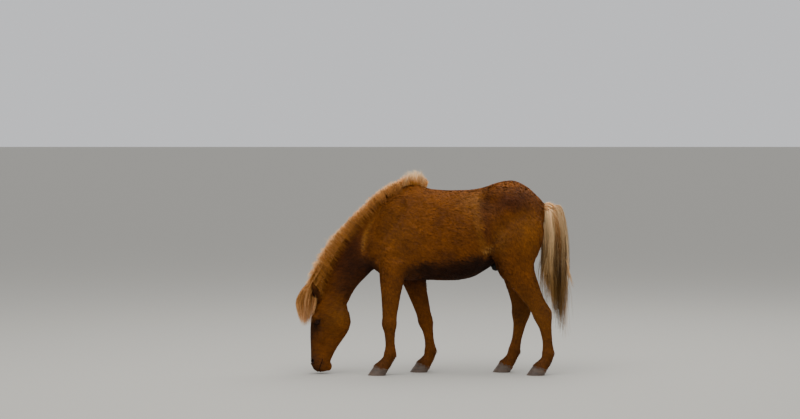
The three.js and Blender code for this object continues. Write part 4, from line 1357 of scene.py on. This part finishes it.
class Surface:
    """A skin that hair can be rooted in."""

    def __init__(self, obj):
        self.verts, self.loops = triangles_of(obj)
        self.points = drawn(points_of(obj.data))
        self.normals = points_of(obj.data, key="normal")
        uv = np.empty(len(obj.data.loops) * 2, np.float32)
        obj.data.uv_layers["OFBake"].data.foreach_get("uv", uv)
        self.uv = uv.reshape(-1, 2).astype(float)
        a, b, c = (self.points[self.verts[:, k]] for k in range(3))
        self.area = np.linalg.norm(np.cross(b - a, c - a), axis=1) / 2
        self.middle = (a + b + c) / 3

    def roots(self, count, density, rng):
        """Random places, with their outward direction and their place on the map."""
        share = np.cumsum(self.area * density)
        chosen = np.searchsorted(share, rng.uniform(0, share[-1], count)).clip(0, len(share) - 1)
        r, s = np.sqrt(rng.uniform(size=count)), rng.uniform(size=count)
        mix = np.stack([1 - r, r * (1 - s), r * s], axis=1)[:, :, None]
        place = (self.points[self.verts[chosen]] * mix).sum(axis=1)
        out = (self.normals[self.verts[chosen]] * mix).sum(axis=1)
        uv = (self.uv[self.loops[chosen]] * mix).sum(axis=1)
        return place, out / np.linalg.norm(out, axis=1, keepdims=True), uv


body = Surface(skin)
print("skin area", round(body.area.sum() / 1e6, 2), "square metres")

# %% [markdown]
# ## The coat
# Particle hair would be lost when the model is saved for other programs, so each tuft is three
# triangles: a root pair under the skin, a wider pair halfway and one tip. Tufts lie along the coat
# and overlap like thatch. Neighbours lean towards a shared middle, which gives the small clumps that
# a spring coat shows, and each has its own shade.

# %% Tufts
# Half the width of a tuft's patch on the map, and how wide a clump of tufts is.
TUFT_PATCH = 0.0015
CLUMP_MM = 17.0


def tufts(
    name, surface, count, density, width, seed,
    longer=1.0, thick=1.0, shade=1.0, clump_mm=CLUMP_MM,
):
    """One piece of coat: `count` tufts spread over a surface by density."""
    rng = np.random.default_rng(seed)
    root, out, uv = surface.roots(count, density, rng)
    way, length, stand = lie_of_coat(root)
    way += 0.10 * np.stack([waves(root, 0.012, seed + k) for k in (1, 2, 3)], axis=1)
    way += 0.09 * rng.normal(size=way.shape)
    way -= (way * out).sum(axis=1, keepdims=True) * out
    way /= np.linalg.norm(way, axis=1, keepdims=True)
    length = length * longer * rng.uniform(0.75, 1.2, count)
    stand = stand * thick * rng.uniform(0.5, 1.4, count)
    # The clump each root belongs to, and the middle of that clump.
    wander = 5 * np.stack([waves(root, 0.02, seed + 9 + k) for k in range(3)], axis=1)
    cell = np.floor((root + wander) / clump_mm)
    _, clump = np.unique(cell.astype(np.int64) @ np.array([1, 4001, 16008001]), return_inverse=True)
    clump = clump.ravel()
    members = np.bincount(clump)
    centre = np.stack([np.bincount(clump, root[:, k]) / members for k in range(3)], axis=1)[clump]
    pull = centre - root
    pull -= (pull * out).sum(axis=1, keepdims=True) * out
    clump_shade = rng.normal(0, 0.07, len(members))[clump]
    aside = np.cross(out, way)
    roll = rng.normal(0, 0.35, (count, 1))
    across = aside * np.cos(roll) + out * np.sin(roll)
    wide = (width * rng.uniform(0.7, 1.3, count))[:, None]
    length, stand = length[:, None], stand[:, None]
    halfway = root + way * length * 0.5 + out * stand * 0.75 + pull * 0.25
    tip = root + way * length + out * stand * 0.9 + pull * 0.55
    low = root - out * 0.8
    points = np.stack(
        [low - across * wide * 0.35, low + across * wide * 0.35, halfway - across * wide / 2,
         halfway + across * wide / 2, tip], axis=1,
    )
    patch = TUFT_PATCH * np.array([[-1, -1], [1, -1], [-1, 0], [1, 0], [0, 1]])
    bright = shade * (1 + clump_shade + rng.normal(0, 0.10, count)).clip(0.5, 1.6)
    colour = coat_colour_and_painted_light(root) * bright[:, None]
    # A tuft is darker at its root and lighter at its tip.
    along = np.array([0.72, 0.72, 1.0, 1.0, 1.16])[None, :, None]
    faces = np.array([[0, 1, 3], [0, 3, 2], [2, 3, 4]])
    faces = (faces[None] + 5 * np.arange(count)[:, None, None]).reshape(-1, 3)
    made = mesh_of(
        name, points.reshape(-1, 3), faces, (uv[:, None] + patch[None]).reshape(-1, 2),
        (colour[:, None] * along).reshape(-1, 3), coat_hair,
    )
    print(name, count, "tufts,", len(faces), "triangles")
    return made


# %% Where each piece of coat grows
middle_points = body.middle
half_middle = mirrored(middle_points)
legs_share = (1 - ease(middle_points[:, 2], 600, 700)) * (middle_points[:, 0] > -540)
head_share = on_head(middle_points).astype(float)
neck_share = (1 - ease(middle_points[:, 0], -420, -360)) * (1 - head_share) * (1 - legs_share)
rest = (1 - legs_share) * (1 - head_share) * (1 - neck_share)
front_share = rest * (1 - ease(middle_points[:, 0], 80, 120))
rear_share = rest * ease(middle_points[:, 0], 80, 120)
# No hair grows in the nostrils, between the lips or under the lids.
EYE_BARE, NOSTRIL_BARE, LIPS_BARE = 33, (14, 30, 24), 3.2
eye_off = np.linalg.norm(half_middle - EYE["centre"], axis=1) > EYE_BARE
nostril_off = np.linalg.norm((half_middle - NOSTRIL) / NOSTRIL_BARE, axis=1) > 1
lip_off = ~((from_mouth(middle_points) < LIPS_BARE) & (middle_points[:, 2] < 120))
upper_head = ease(middle_points[:, 2], 150, 290)
head_share *= eye_off * nostril_off * lip_off
# Longer hair hangs behind the fetlocks and over the edge of each hoof.
FETLOCK_REACH = 44
fetlock_share = np.zeros(len(middle_points))
for _, joints in LIMBS.values():
    (x0, z0, y0), (x1, _, y1) = joints[-2], joints[-1]
    fetlock = soft_patch(middle_points, (x0 + 22, y0, z0 - 10), (FETLOCK_REACH,) * 3)
    fetlock_share += (middle_points[:, 0] > x0) * fetlock
    near_foot = (np.abs(middle_points[:, 0] - x1) < 95) & (np.abs(middle_points[:, 1] - y1) < 75)
    over_hoof = 0.9 * near_foot * (1 - ease(middle_points[:, 2], 86, 112))
    fetlock_share += over_hoof * (middle_points[:, 2] > 40)
print("share of the skin that legs take", round(float(legs_share.mean()), 2))

# %% The pieces of the coat
# Where it grows, how many tufts, how wide, the seed, then how they differ from the rest.
coat = [
    tufts(
        "coat_fetlocks", body, 11000, fetlock_share * legs_share, 2.6, 16,
        longer=2.1, thick=1.4, shade=0.88,
    ),
    tufts("coat_front", body, 62000, front_share, 6.5, 11),
    tufts("coat_rear", body, 65000, rear_share, 6.5, 12),
    tufts("coat_neck", body, 44000, neck_share, 5.4, 13),
    tufts(
        "coat_face", body, 62000, head_share * upper_head, 2.8, 14,
        longer=0.8, thick=0.75, clump_mm=11,
    ),
    tufts(
        "coat_muzzle", body, 56000, head_share * (1 - upper_head), 1.8, 19,
        longer=0.5, thick=0.4, clump_mm=7,
    ),
    tufts("coat_legs", body, 64000, legs_share, 3.3, 15, longer=0.8, thick=0.65, clump_mm=9),
]
for side, obj in ears.items():
    leaf = Surface(obj)
    facing = leaf.normals[leaf.verts].mean(axis=1) @ np.array(ear_motion(side).to_3x3())
    outside = 1 - 0.9 * ease(-facing[:, 0], 0.1, 0.6)
    name = f"coat_ear_{side_name(side)}"
    coat.append(tufts(name, leaf, 5200, outside, 2.6, 17, longer=0.8, shade=0.7))
for side, obj in zip((-1, 1), lids):
    lid, name = Surface(obj), f"coat_lid_{side_name(side)}"
    outside = ease(from_eye(lid.middle), 1.2, 1.7)
    coat.append(tufts(name, lid, 3600, outside, 2.0, 18, longer=0.55, thick=0.5))

# %% [markdown]
# ## Mane, forelock and tail
# Long hair gathers in locks. Each lock has a path, a width and a thickness; its strands are flat
# ribbons that spread from the root, run together towards the tip and each go their own way a
# little. The paths are those of the locks in the CAD model, with many more of them.

# %% Locks into strands
def curve_through(path, steps):
    """Points of a smooth curve through the corners of a path."""
    path = np.asarray(path, float)
    padded = np.vstack([2 * path[0] - path[1], path, 2 * path[-1] - path[-2]])
    out = []
    for t in np.linspace(0, len(path) - 1 - 1e-6, steps):
        i = int(t)
        out.append(spline(*padded[i : i + 4], t - i))
    return np.array(out)


def lock_strands(
    path, across, width, thick, count, gather, stray, ribbon, steps, rng, short=0.78
):
    """The strands of one lock: ribbons of `steps` pairs of points, and how far along each is.

    `gather` is the share of the lock's width that is left at its tip, `stray` how far a strand
    goes its own way, `ribbon` how wide it is and `short` how far the shortest one reaches.
    """
    line = curve_through(path, steps)
    along = np.gradient(line, axis=0)
    along /= np.linalg.norm(along, axis=1, keepdims=True)
    aside = across - (along @ across)[:, None] * along
    aside /= np.linalg.norm(aside, axis=1, keepdims=True)
    outer = np.cross(aside, along)
    t = np.linspace(0, 1, steps)
    spread = 0.55 + 0.6 * ease(t, 0, 0.35) - (1.15 - gather) * ease(t, 0.45, 1.0)
    a, b = rng.uniform(-0.5, 0.5, (2, count, 1))
    reach = rng.uniform(short, 1.06, (count, 1))
    phase, waves_along = rng.uniform(0, 6.3, (2, count, 1)), rng.uniform(0.8, 2.4, (count, 1))
    fly = stray * rng.gamma(1.2, 0.6, (count, 1))
    side = a * width * spread + fly * t * np.sin(waves_along * 3 * t + phase[0])
    deep = b * thick * spread + fly * t * np.sin(waves_along * 2.3 * t + phase[1])
    own = t[None] * reach
    at = np.clip(own, 0, 1) * (steps - 1)
    i = np.clip(at.astype(int), 0, steps - 2)
    f = (at - i)[:, :, None]
    pick = lambda values: values[i] * (1 - f) + values[i + 1] * f
    beyond = np.maximum(own - 1, 0)[:, :, None] * np.linalg.norm(np.diff(line, axis=0), axis=1).sum()
    spine = pick(line) + beyond * along[-1] + pick(aside) * side[:, :, None] + pick(outer) * deep[:, :, None]
    roll = rng.uniform(-0.7, 0.7, (count, 1, 1)) + 0.4 * t[None, :, None] * rng.normal(size=(count, 1, 1))
    flat = pick(aside) * np.cos(roll) + pick(outer) * np.sin(roll)
    half = (ribbon / 2 * rng.uniform(0.7, 1.25, (count, 1)) * (1 - 0.8 * t[None] ** 2.2))[:, :, None]
    return np.stack([spine - flat * half, spine + flat * half], axis=2), t


def hair_piece(name, locks, steps, seed, shades):
    """Joins the strands of many locks in one piece, coloured from root to tip."""
    rng = np.random.default_rng(seed)
    all_points, all_colours, all_uv = [], [], []
    for lock in locks:
        tones = np.array([linear(shade) for shade in lock.pop("shades", shades)])
        strands, t = lock_strands(steps=steps, rng=rng, **lock)
        count = len(strands)
        place = t[None, :, None] * (len(tones) - 1)
        i = np.minimum(place.astype(int), len(tones) - 2)
        colour = tones[i[..., 0]] * (1 - (place - i)) + tones[i[..., 0] + 1] * (place - i)
        bright = (1 + rng.normal(0, 0.09) + rng.normal(0, 0.14, (count, 1, 1))).clip(0.5, 1.6)
        colour = np.repeat((colour * bright)[:, :, None], 2, axis=2)
        root = strands[:, 0].mean(axis=1)
        all_points.append(strands.reshape(-1, 3))
        all_colours.append(colour.reshape(-1, 3))
        # Some roots of the lock are looked up on the skin's map, and the others share their place.
        uv = np.array([root_uv(p) for p in root[:: max(1, count // 4)]])
        uv = uv[np.arange(count) * len(uv) // count]
        patch = TUFT_PATCH * np.stack(
            np.broadcast_arrays(np.array([-1.0, 1.0])[None, :], (2 * t - 1)[:, None]), axis=-1
        )
        all_uv.append((uv[:, None, None] + patch[None]).reshape(-1, 2))
    points = np.concatenate(all_points)
    strand_count = len(points) // (2 * steps)
    quad = np.array([[0, 1, 3, 2]]) + 2 * np.arange(steps - 1)[:, None]
    faces = (quad[None] + 2 * steps * np.arange(strand_count)[:, None, None]).reshape(-1, 4)
    made = mesh_of(name, points, faces, np.concatenate(all_uv), np.concatenate(all_colours), long_hair)
    print(name, strand_count, "strands,", 2 * len(faces), "triangles")
    return made


skin_tree = surface_of(skin)
face_loops = [tuple(f.loop_indices) for f in skin.data.polygons]


def root_uv(point):
    """The place on the skin's map that is nearest to a root."""
    _, _, index, _ = skin_tree.find_nearest(Vector(metres(point)))
    return body.uv[list(face_loops[index])].mean(axis=0)


def over_skin(path, low, high, first=1):
    """Brings the points of a path to between two heights over the skin; those before first stay."""
    out = [np.asarray(point, float) for point in path]
    for k in range(first, len(out)):
        where, normal, _, _ = skin_tree.find_nearest(Vector(metres(out[k])))
        where, normal = drawn(where), np.array(normal)
        height = (out[k] - where) @ normal
        if not low <= height <= high:
            out[k] = where + normal * min(max(height, low), high)
    return out


# %% The mane
CREST = [
    (-58, 1366), (-150, 1386), (-255, 1364), (-370, 1296), (-470, 1204), (-560, 1113), (-640, 1010),
    (-712, 900), (-768, 788), (-806, 690), (-822, 628),
]
MANE = {
    "side": 200, "middle": 190, "strands": 16, "width": 25, "thick": 14, "rise": 52, "poll_rise": 50,
    "tuft_rise": 112, "tuft_at": -136, "tuft_spread": 58, "hang": 52, "poll_hang": 30, "root": 14,
    "lean": 36,
}
# From root to tip. Flaxen hair, lightened with painted highlight where the light from above falls:
# pale where the hair bends over the crest and palest at the tips of the crest and the withers' tuft;
# darker on the neck, with painted shade under the crest.
MANE_SHADES = ("#b87a34", "#ffca88", "#b07230", "#7a4614")
CREST_SHADES = ("#bc8040", "#e0a054", "#ffc884", "#ffdca6")
TUFT_SHADES = ("#5c2c0e", "#d28a3c", "#ffdaa2", "#fff0d2")


def crest_points():
    """The line of the crest, and the share of its length at each point."""
    line = curve_through([(x, 0, z) for x, z in CREST], 400)
    steps = np.concatenate([[0], np.cumsum(np.linalg.norm(np.diff(line, axis=0), axis=1))])
    return line, steps / steps[-1]


crest_line, crest_share = crest_points()


def on_crest(u):
    """The crest at a share of its length, its direction and the way out of the neck."""
    root = np.array([np.interp(u, crest_share, crest_line[:, k]) for k in range(3)])
    ahead = np.array([np.interp(min(u + 0.01, 1), crest_share, crest_line[:, k]) for k in range(3)])
    behind = np.array([np.interp(max(u - 0.01, 0), crest_share, crest_line[:, k]) for k in range(3)])
    along = (ahead - behind) / np.linalg.norm(ahead - behind)
    return root, along, np.array([along[2], 0, -along[0]])


def tone(one, other, share):
    """A shade between two hex colours, as a hex colour."""
    pairs = [(int(one[i : i + 2], 16), int(other[i : i + 2], 16)) for i in (1, 3, 5)]
    return "#" + "".join(f"{round(a * (1 - share) + b * share):02x}" for a, b in pairs)


def mane_root(u):
    """A place on the crest, its directions, how much its hair stands in the tuft, and its rise."""
    root, along, out = on_crest(u)
    stand = math.exp(-(((root[0] - MANE["tuft_at"]) / MANE["tuft_spread"]) ** 2))
    return root, along, out, stand, MANE["rise"] + MANE["poll_rise"] * float(ease(u, 0.45, 0.9))


def mane_locks(seed):
    """Locks that fall to each side of the crest, and locks that stand in a dome between them."""
    rng = np.random.default_rng(seed)
    roll = lambda: rng.uniform(-1, 1)
    m, locks = MANE, []
    aside = np.array([0, 1.0, 0])

    def tuft_path(root, along, out, lean):
        """Hair of the withers stands up in a puff and leans back at its tips."""
        high = m["tuft_rise"] * (0.95 + 0.2 * roll())
        back = 10 + 28 * roll()
        return [
            root - out * m["root"] + aside * lean * 0.3, root + out * high * 0.3 + aside * lean * 0.7,
            root + out * high * 0.6 + aside * lean + along * back * 0.3,
            root + out * high * 0.85 + aside * lean + along * back * 0.7,
            root + out * high + aside * lean * 0.7 + along * back,
        ]

    for side in (-1, 1):
        for i in range(m["side"]):
            u = (i + 0.5 + 0.45 * roll()) / m["side"]
            root, along, out, stand, rise = mane_root(u)
            rise *= 1 + 0.1 * roll()
            hang = m["hang"] + (m["poll_hang"] - m["hang"]) * float(ease(u, 0.5, 0.8))
            hang *= 1 + 0.5 * roll()
            sway = 10 + 20 * roll() + 62 * float(ease(u, 0.6, 0.95))
            inner = rng.uniform(0.3, 1)
            step = lambda o, s, a: root + out * o * inner + along * a + aside * side * s
            # The parting wanders to one side and the other.
            part = aside * (8 * math.sin(37 * u) + 6 * math.sin(91 * u + 1))
            hung = over_skin([
                root - out * m["root"] + aside * side * 2 + part,
                step(rise * 0.75, 3, sway * 0.1) + part,
                step(rise * 1.02, 22, sway * 0.3) + part * 0.6,
                step(rise * 0.3, 58, sway * 0.7),
                root - out * hang + along * sway * 1.2 + aside * side * 80,
            ], 5, 90)
            hung = over_skin(hung, 4, 5 + 9 * inner, first=4)
            tuft = tuft_path(root, along, out, side * 26 * rng.uniform(0.2, 1))
            locks.append({
                "path": [a * (1 - stand) + b * stand for a, b in zip(hung, tuft)],
                "across": -side * along, "width": m["width"] * (1 + 0.25 * roll()),
                "thick": m["thick"], "count": m["strands"],
                "gather": 0.95, "stray": 6.0 + 8 * stand, "ribbon": 2.4, "short": 0.62 - 0.15 * stand,
                "shades": [tone(a, b, stand) for a, b in zip(MANE_SHADES, TUFT_SHADES)],
            })
    for i in range(m["middle"]):
        u = (i + 0.5 + 0.45 * roll()) / m["middle"]
        root, along, out, stand, rise = mane_root(u)
        rise *= 1.04 + 0.1 * roll()
        lean, sway = m["lean"] * roll(), 8 + 18 * roll() + 50 * float(ease(u, 0.6, 0.95))
        step = lambda o, s, a: root + out * o + along * a + aside * s
        dome = [
            step(-m["root"], 0, 0),
            step(rise * 0.35, lean * 0.2, 0),
            step(rise * 0.72, lean * 0.5, sway * 0.3),
            step(rise * 0.98, lean * 0.85, sway * 0.7),
            step(rise * (1.05 - 0.3 * abs(lean) / m["lean"]), lean * 1.25, sway),
        ]
        tuft = tuft_path(root, along, out, lean * 0.5)
        locks.append({
            "path": [a * (1 - stand) + b * stand for a, b in zip(dome, tuft)], "across": along,
            "width": m["width"], "thick": m["thick"] * 1.6, "count": m["strands"], "gather": 1.1,
            "stray": 7.0 + 8 * stand, "ribbon": 2.2, "short": 0.7 - 0.2 * stand,
            "shades": [tone(a, b, stand) for a, b in zip(CREST_SHADES, TUFT_SHADES)],
        })
    return locks


mane = hair_piece("mane", mane_locks(5), 10, 31, MANE_SHADES)

# %% The forelock
FORELOCK = {
    "locks": 90, "sweep": 84, "sweep_from": 0.2, "beside": 64, "strands": 24,
    "half_spread": 72, "width": 26, "thick": 14,
}
FORELOCK_SHADES = ("#7d4918", "#a66c2c", "#c58b4a", "#edba82")


def forelock_locks(seed):
    """Locks from between the ears, and those of the upper mane that sweep down over them."""
    rng = np.random.default_rng(seed)
    roll = lambda: rng.uniform(-1, 1)
    f, locks = FORELOCK, []
    for i in range(f["locks"]):
        inner = (i % 4) / 3 * 0.95 + 0.05 * roll()
        spread = ((i + 0.5) / f["locks"] * 2 - 1) * 0.98 + 0.05 * roll()
        y = f["half_spread"] * spread * (1 - 0.15 * inner)
        rounded = math.sqrt(max(0, 1 - 0.75 * spread * spread))
        reach = (40 + 58 * rounded) * (1 - 0.85 * inner) - 6
        tip = 374 + 30 * (1 - rounded) + 12 * inner + 22 * roll()
        path = over_skin([
            (-815, y * 0.45 + 4 * roll(), 606 - 26 * inner + 6 * roll()),
            (
                -884 - reach * 0.3, y * 0.7 + 5 * roll(),
                648 - 38 * inner - 24 * (1 - rounded) + 6 * roll(),
            ),
            (-903 - reach, y, 552 + 10 * roll()),
            (-903 - reach * 0.95, y * 1.03 + 5 * roll(), 455),
            (-904 - reach * 0.6 + 12 * roll(), y * 0.96 + 8 * roll(), tip),
        ], 5, 200)
        locks.append({
            "path": path, "across": np.array([0.5 * spread, 1.0, 0]),
            "width": f["width"] * (1 + 0.2 * roll()), "thick": f["thick"], "count": f["strands"],
            "gather": 0.85, "stray": 6.0, "ribbon": 2.0, "short": 0.7,
        })
    for i in range(f["sweep"]):
        u = 1 - f["sweep_from"] * ((i + 0.5) / f["sweep"]) ** 1.2
        root, along, out = on_crest(u)
        ahead, _, ahead_out = on_crest(min(u + 0.09, 1))
        spread = (i * 0.618 % 1) * 2 - 1
        rounded = math.sqrt(max(0, 1 - 0.8 * spread * spread))
        deep = rng.uniform(0.25, 1)
        over = (62 + 36 * rounded) * deep * (0.7 + 0.3 * float(ease(u, 0.8, 0.93)))
        y = 76 * spread
        end = 376 + 150 * rng.uniform(0, 1) ** 1.5
        path = over_skin([
            root - out * 12, root + out * over + (0, y * 0.5, 0),
            ahead + ahead_out * (over + 8) + (0, y * 0.8, 0) + along * 20,
            np.array([-880 - 92 * rounded * deep, y, 616 + 14 * roll()]),
            np.array([-896 - 104 * rounded * deep, y * 1.04, 530 + 16 * roll()]),
            np.array([-906 - 78 * rounded * deep + 8 * roll(), y, end]),
        ], 5, 200)
        locks.append({
            "path": path, "across": np.array([0.3 * spread, 1.0, 0]), "width": f["width"],
            "thick": 12, "count": f["strands"], "gather": 0.6, "stray": 6.0, "ribbon": 2.0,
            "short": 0.5,
        })
    # Hair beside and behind the ears closes the gap between the mane and the forelock.
    for i in range(f["beside"]):
        side, k = 1 - 2 * (i % 2), rng.uniform(0, 1)
        y = side * (18 + 52 * k)
        path = over_skin([
            (-806 + 8 * roll(), y * 0.5, 596 + 8 * roll()),
            (-842, y * 0.8, 618 + 6 * roll()),
            (-858 - 30 * (1 - k), y, 586),
            (-862 - 40 * (1 - k), y * 1.04, 524),
            (-868 - 36 * (1 - k), y * 0.96, 424 + 40 * roll()),
        ], 6, 200)
        locks.append({
            "path": path, "across": np.array([0.3 * side, 1.0, 0]), "width": 22, "thick": 14,
            "count": f["strands"], "gather": 0.7, "stray": 6.0, "ribbon": 1.9, "short": 0.55,
        })
    return locks


forelock = hair_piece("forelock", forelock_locks(6), 13, 32, FORELOCK_SHADES)

# %% The tail
TAIL = {
    "locks": 120, "cover": 90, "apart": 26, "loose": 9, "strands": 34,
    "half_spread": 100, "width": 30, "thick": 16, "longest": 287,
}
# From root to tip. The palest shades, on top of the tail and on the hair that covers its root, are
# flaxen hair lightened further with painted sunlight.
TAIL_LIGHT = ("#ffcf94", "#ffe4b4", "#f8cc8e", "#ca9448")
TAIL_DARK = ("#e8bc82", "#a47442", "#1c1008", "#54380f")
COVER_SHADES = ("#d09048", "#ffd296", "#ffe8be", "#ffd69c")


def tail_locks(seed):
    """The full hair in a spiral about the dock, then what covers it, hangs apart and flies."""
    rng = np.random.default_rng(seed)
    roll = lambda: rng.uniform(-1, 1)
    t, locks = TAIL, []
    for i in range(t["locks"]):
        low = rng.uniform(0, 1) ** 1.3
        out = 1 - 0.7 * low - 0.1 * rng.uniform()
        turn = (i + 0.4 * roll()) / t["locks"] * 2 * math.pi * 7
        back, beside = math.cos(turn) * out, math.sin(turn) * out
        tip_x = 893 + 96 * back + 14 * (1 - back) + 14 * roll()
        tip_z = t["longest"] + max(0, 985 - tip_x) * 2.35 + 50 * roll()
        wide = t["half_spread"]
        bend = 12 * roll()
        x = 895 + 98 * back
        path = [
            (846 + 34 * low + 16 * back, beside * 16 + 2 * roll(), 1216 - 110 * low + 6 * roll()),
            (874 + 70 * back, wide * 0.8 * beside, 1196 - 95 * low + 34 * back),
            (x + 0.5 * bend, wide * beside, 1010 - 30 * low),
            (x - 0.6 * bend, wide * beside, 780 - 30 * low),
            (x * 0.45 + tip_x * 0.55 + 5 * back + bend, wide * 0.82 * beside, 405 + tip_z * 0.55),
            (tip_x - bend, wide * 0.42 * beside + 8 * roll(), tip_z),
        ]
        # The outer and upper hair is bleached pale and lightened further with painted sunlight; the inner
        # hair stays dark.
        middle = math.exp(-(((back - 0.1) / 0.55) ** 2))
        pale = float(np.clip(1.0 - 0.92 * middle + 0.45 * roll(), 0, 1)) * (1 - 0.6 * low)
        locks.append({
            "path": path, "across": np.array([math.sin(turn), -math.cos(turn), 0]),
            "width": t["width"] * (1 + 0.35 * roll()), "thick": t["thick"], "count": t["strands"],
            "gather": 0.45, "stray": 15.0, "ribbon": 2.1, "short": 0.6,
            "shades": [tone(a, b, pale) for a, b in zip(TAIL_DARK, TAIL_LIGHT)],
        })
    # Short hair covers the root of the tail from above and from both sides.
    for i in range(t["cover"]):
        k = 2.4 * ((i + 0.5) / t["cover"]) - 1.2 + 0.05 * roll()
        long, forward = rng.uniform(0.1, 1), rng.uniform(0, 1)
        steep = min(abs(k), 1.2) * (0.5 + 0.5 * forward)
        path = over_skin([
            (812 - 26 * forward, 20 * k, 1232 - 26 * abs(k)),
            (842 - 20 * steep, 34 * k, 1252 - 44 * steep),
            (900 - 34 * steep, 50 * k, 1232 - 60 * steep),
            (954 - 52 * steep, 62 * k, 1150 - 40 * steep),
            (984 - 74 * steep, 66 * k, 1090 - 300 * long),
        ], 4, 200)
        locks.append({
            "path": path, "across": np.array([0.3 * k, -1, 0]) / math.hypot(0.3 * k, 1),
            "width": 26, "thick": 10, "count": 22, "gather": 0.6, "stray": 8.0, "ribbon": 2.0,
            "short": 0.35, "shades": COVER_SHADES,
        })
    # Thin locks hang apart in front of the rest, on both sides.
    for i in range(t["apart"]):
        side, k = 1 - 2 * (i % 2), rng.uniform(0, 1)
        x, tip, apart = 838 + 70 * k, 470 + 150 * rng.uniform(-1, 1) * (1 - 0.4 * k), 48 * (1 - k)
        path = [
            (850, side * 14, 1180),
            (848 + 40 * k, side * (62 + 14 * roll()), 1080),
            (x - 4 - 0.3 * apart, side * (84 + 8 * roll()), 900),
            (x - 12 - apart + 10 * roll(), side * (78 + 12 * roll()), 720),
            (x - 4 - apart + 18 * roll(), side * (64 + 12 * roll()), tip),
        ]
        locks.append({
            "path": path, "across": np.array([1.0, 0, 0]), "width": 15, "thick": 8, "count": 12,
            "gather": 0.4, "stray": 9.0, "ribbon": 2.2, "short": 0.5,
            "shades": [tone(a, b, rng.uniform(0.2, 1)) for a, b in zip(TAIL_DARK, TAIL_LIGHT)],
        })
    # A few hairs fly loose behind.
    for i in range(t["loose"]):
        lift = rng.uniform(0, 1)
        path = [
            (940, -30 + 6 * i, 900),
            (985, -34 + 7 * i, 820),
            (992 + 14 * lift, -30 + 6 * i, 740),
            (1008 + 34 * lift, -24 + 5 * i, 670 - 40 * lift),
        ]
        locks.append({
            "path": path, "across": np.array([0, 1.0, 0]), "width": 8, "thick": 6, "count": 5,
            "gather": 0.8, "stray": 6.0, "ribbon": 2.0, "shades": TAIL_LIGHT,
        })
    return locks


tail = hair_piece("tail_hair", tail_locks(7), 18, 33, TAIL_LIGHT)

# %% Lashes
LASHES = {"count": 46, "long": 15, "droop": 6, "from": 0.12, "to": 0.82}


def lash_locks(seed):
    """Single stiff hairs from the edge of each upper lid, outwards and a little down."""
    rng = np.random.default_rng(seed)
    locks = []
    for side in (-1, 1):
        centre = np.array(EYE["centre"]) * (1, side, 1)
        along, up, out = eye_axes(side)
        for turn in np.linspace(LASHES["from"], LASHES["to"], LASHES["count"]) * math.pi:
            u, v = EYE["half_length"] * math.cos(turn), EYE["half_height"] * 1.12 * math.sin(turn)
            w = math.sqrt(EYE["radius"] ** 2 - u * u - v * v) + 1.5
            root = centre + u * along + v * up + w * out
            long = LASHES["long"] * rng.uniform(0.7, 1.1)
            fan = along * math.cos(turn) * 0.35 + up * 0.25
            path = [
                root + (out + fan) * long * t - up * LASHES["droop"] * t * t
                for t in (-0.1, 0.35, 0.7, 1.0)
            ]
            locks.append({
                "path": path, "across": along, "width": 1, "thick": 1, "count": 2,
                "gather": 0.9, "stray": 1.0, "ribbon": 0.9,
            })
    return locks


lashes = hair_piece("lashes", lash_locks(8), 5, 34, ("#120a06", "#1c100a", "#2a1a10"))

# %% [markdown]
# ## On the frame
# Every piece rides on the one body of this still model. The skin stands for all nodes of flesh, and
# ears, eyes, hooves, tail and sheath each for their own.

# %% On the frame
pieces = [
    skin, *lids, *ears.values(), *eyes.values(), *hooves.values(), sheath,
    *coat, mane, forelock, tail, lashes,
]
for obj in pieces:
    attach(obj, "root")
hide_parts("torso", "neck", "head")
for name in LIMBS:
    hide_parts(f"{name}_{'forearm' if name.startswith('fore') else 'gaskin'}", f"{name}_cannon")
    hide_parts(f"{name}_hoof")
for side, label in ((-1, "left"), (1, "right")):
    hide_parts(f"ear_{label}")
    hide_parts(f"eye_{label}")
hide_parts("tail")
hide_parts("sheath")
# The largest pieces are listed by name.
LARGE = 30000
total = 0
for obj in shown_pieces():
    obj.data.calc_loop_triangles()
    count = len(obj.data.loop_triangles)
    total += count
    if count > LARGE:
        print(obj.name, count)
print("triangles in all", total)
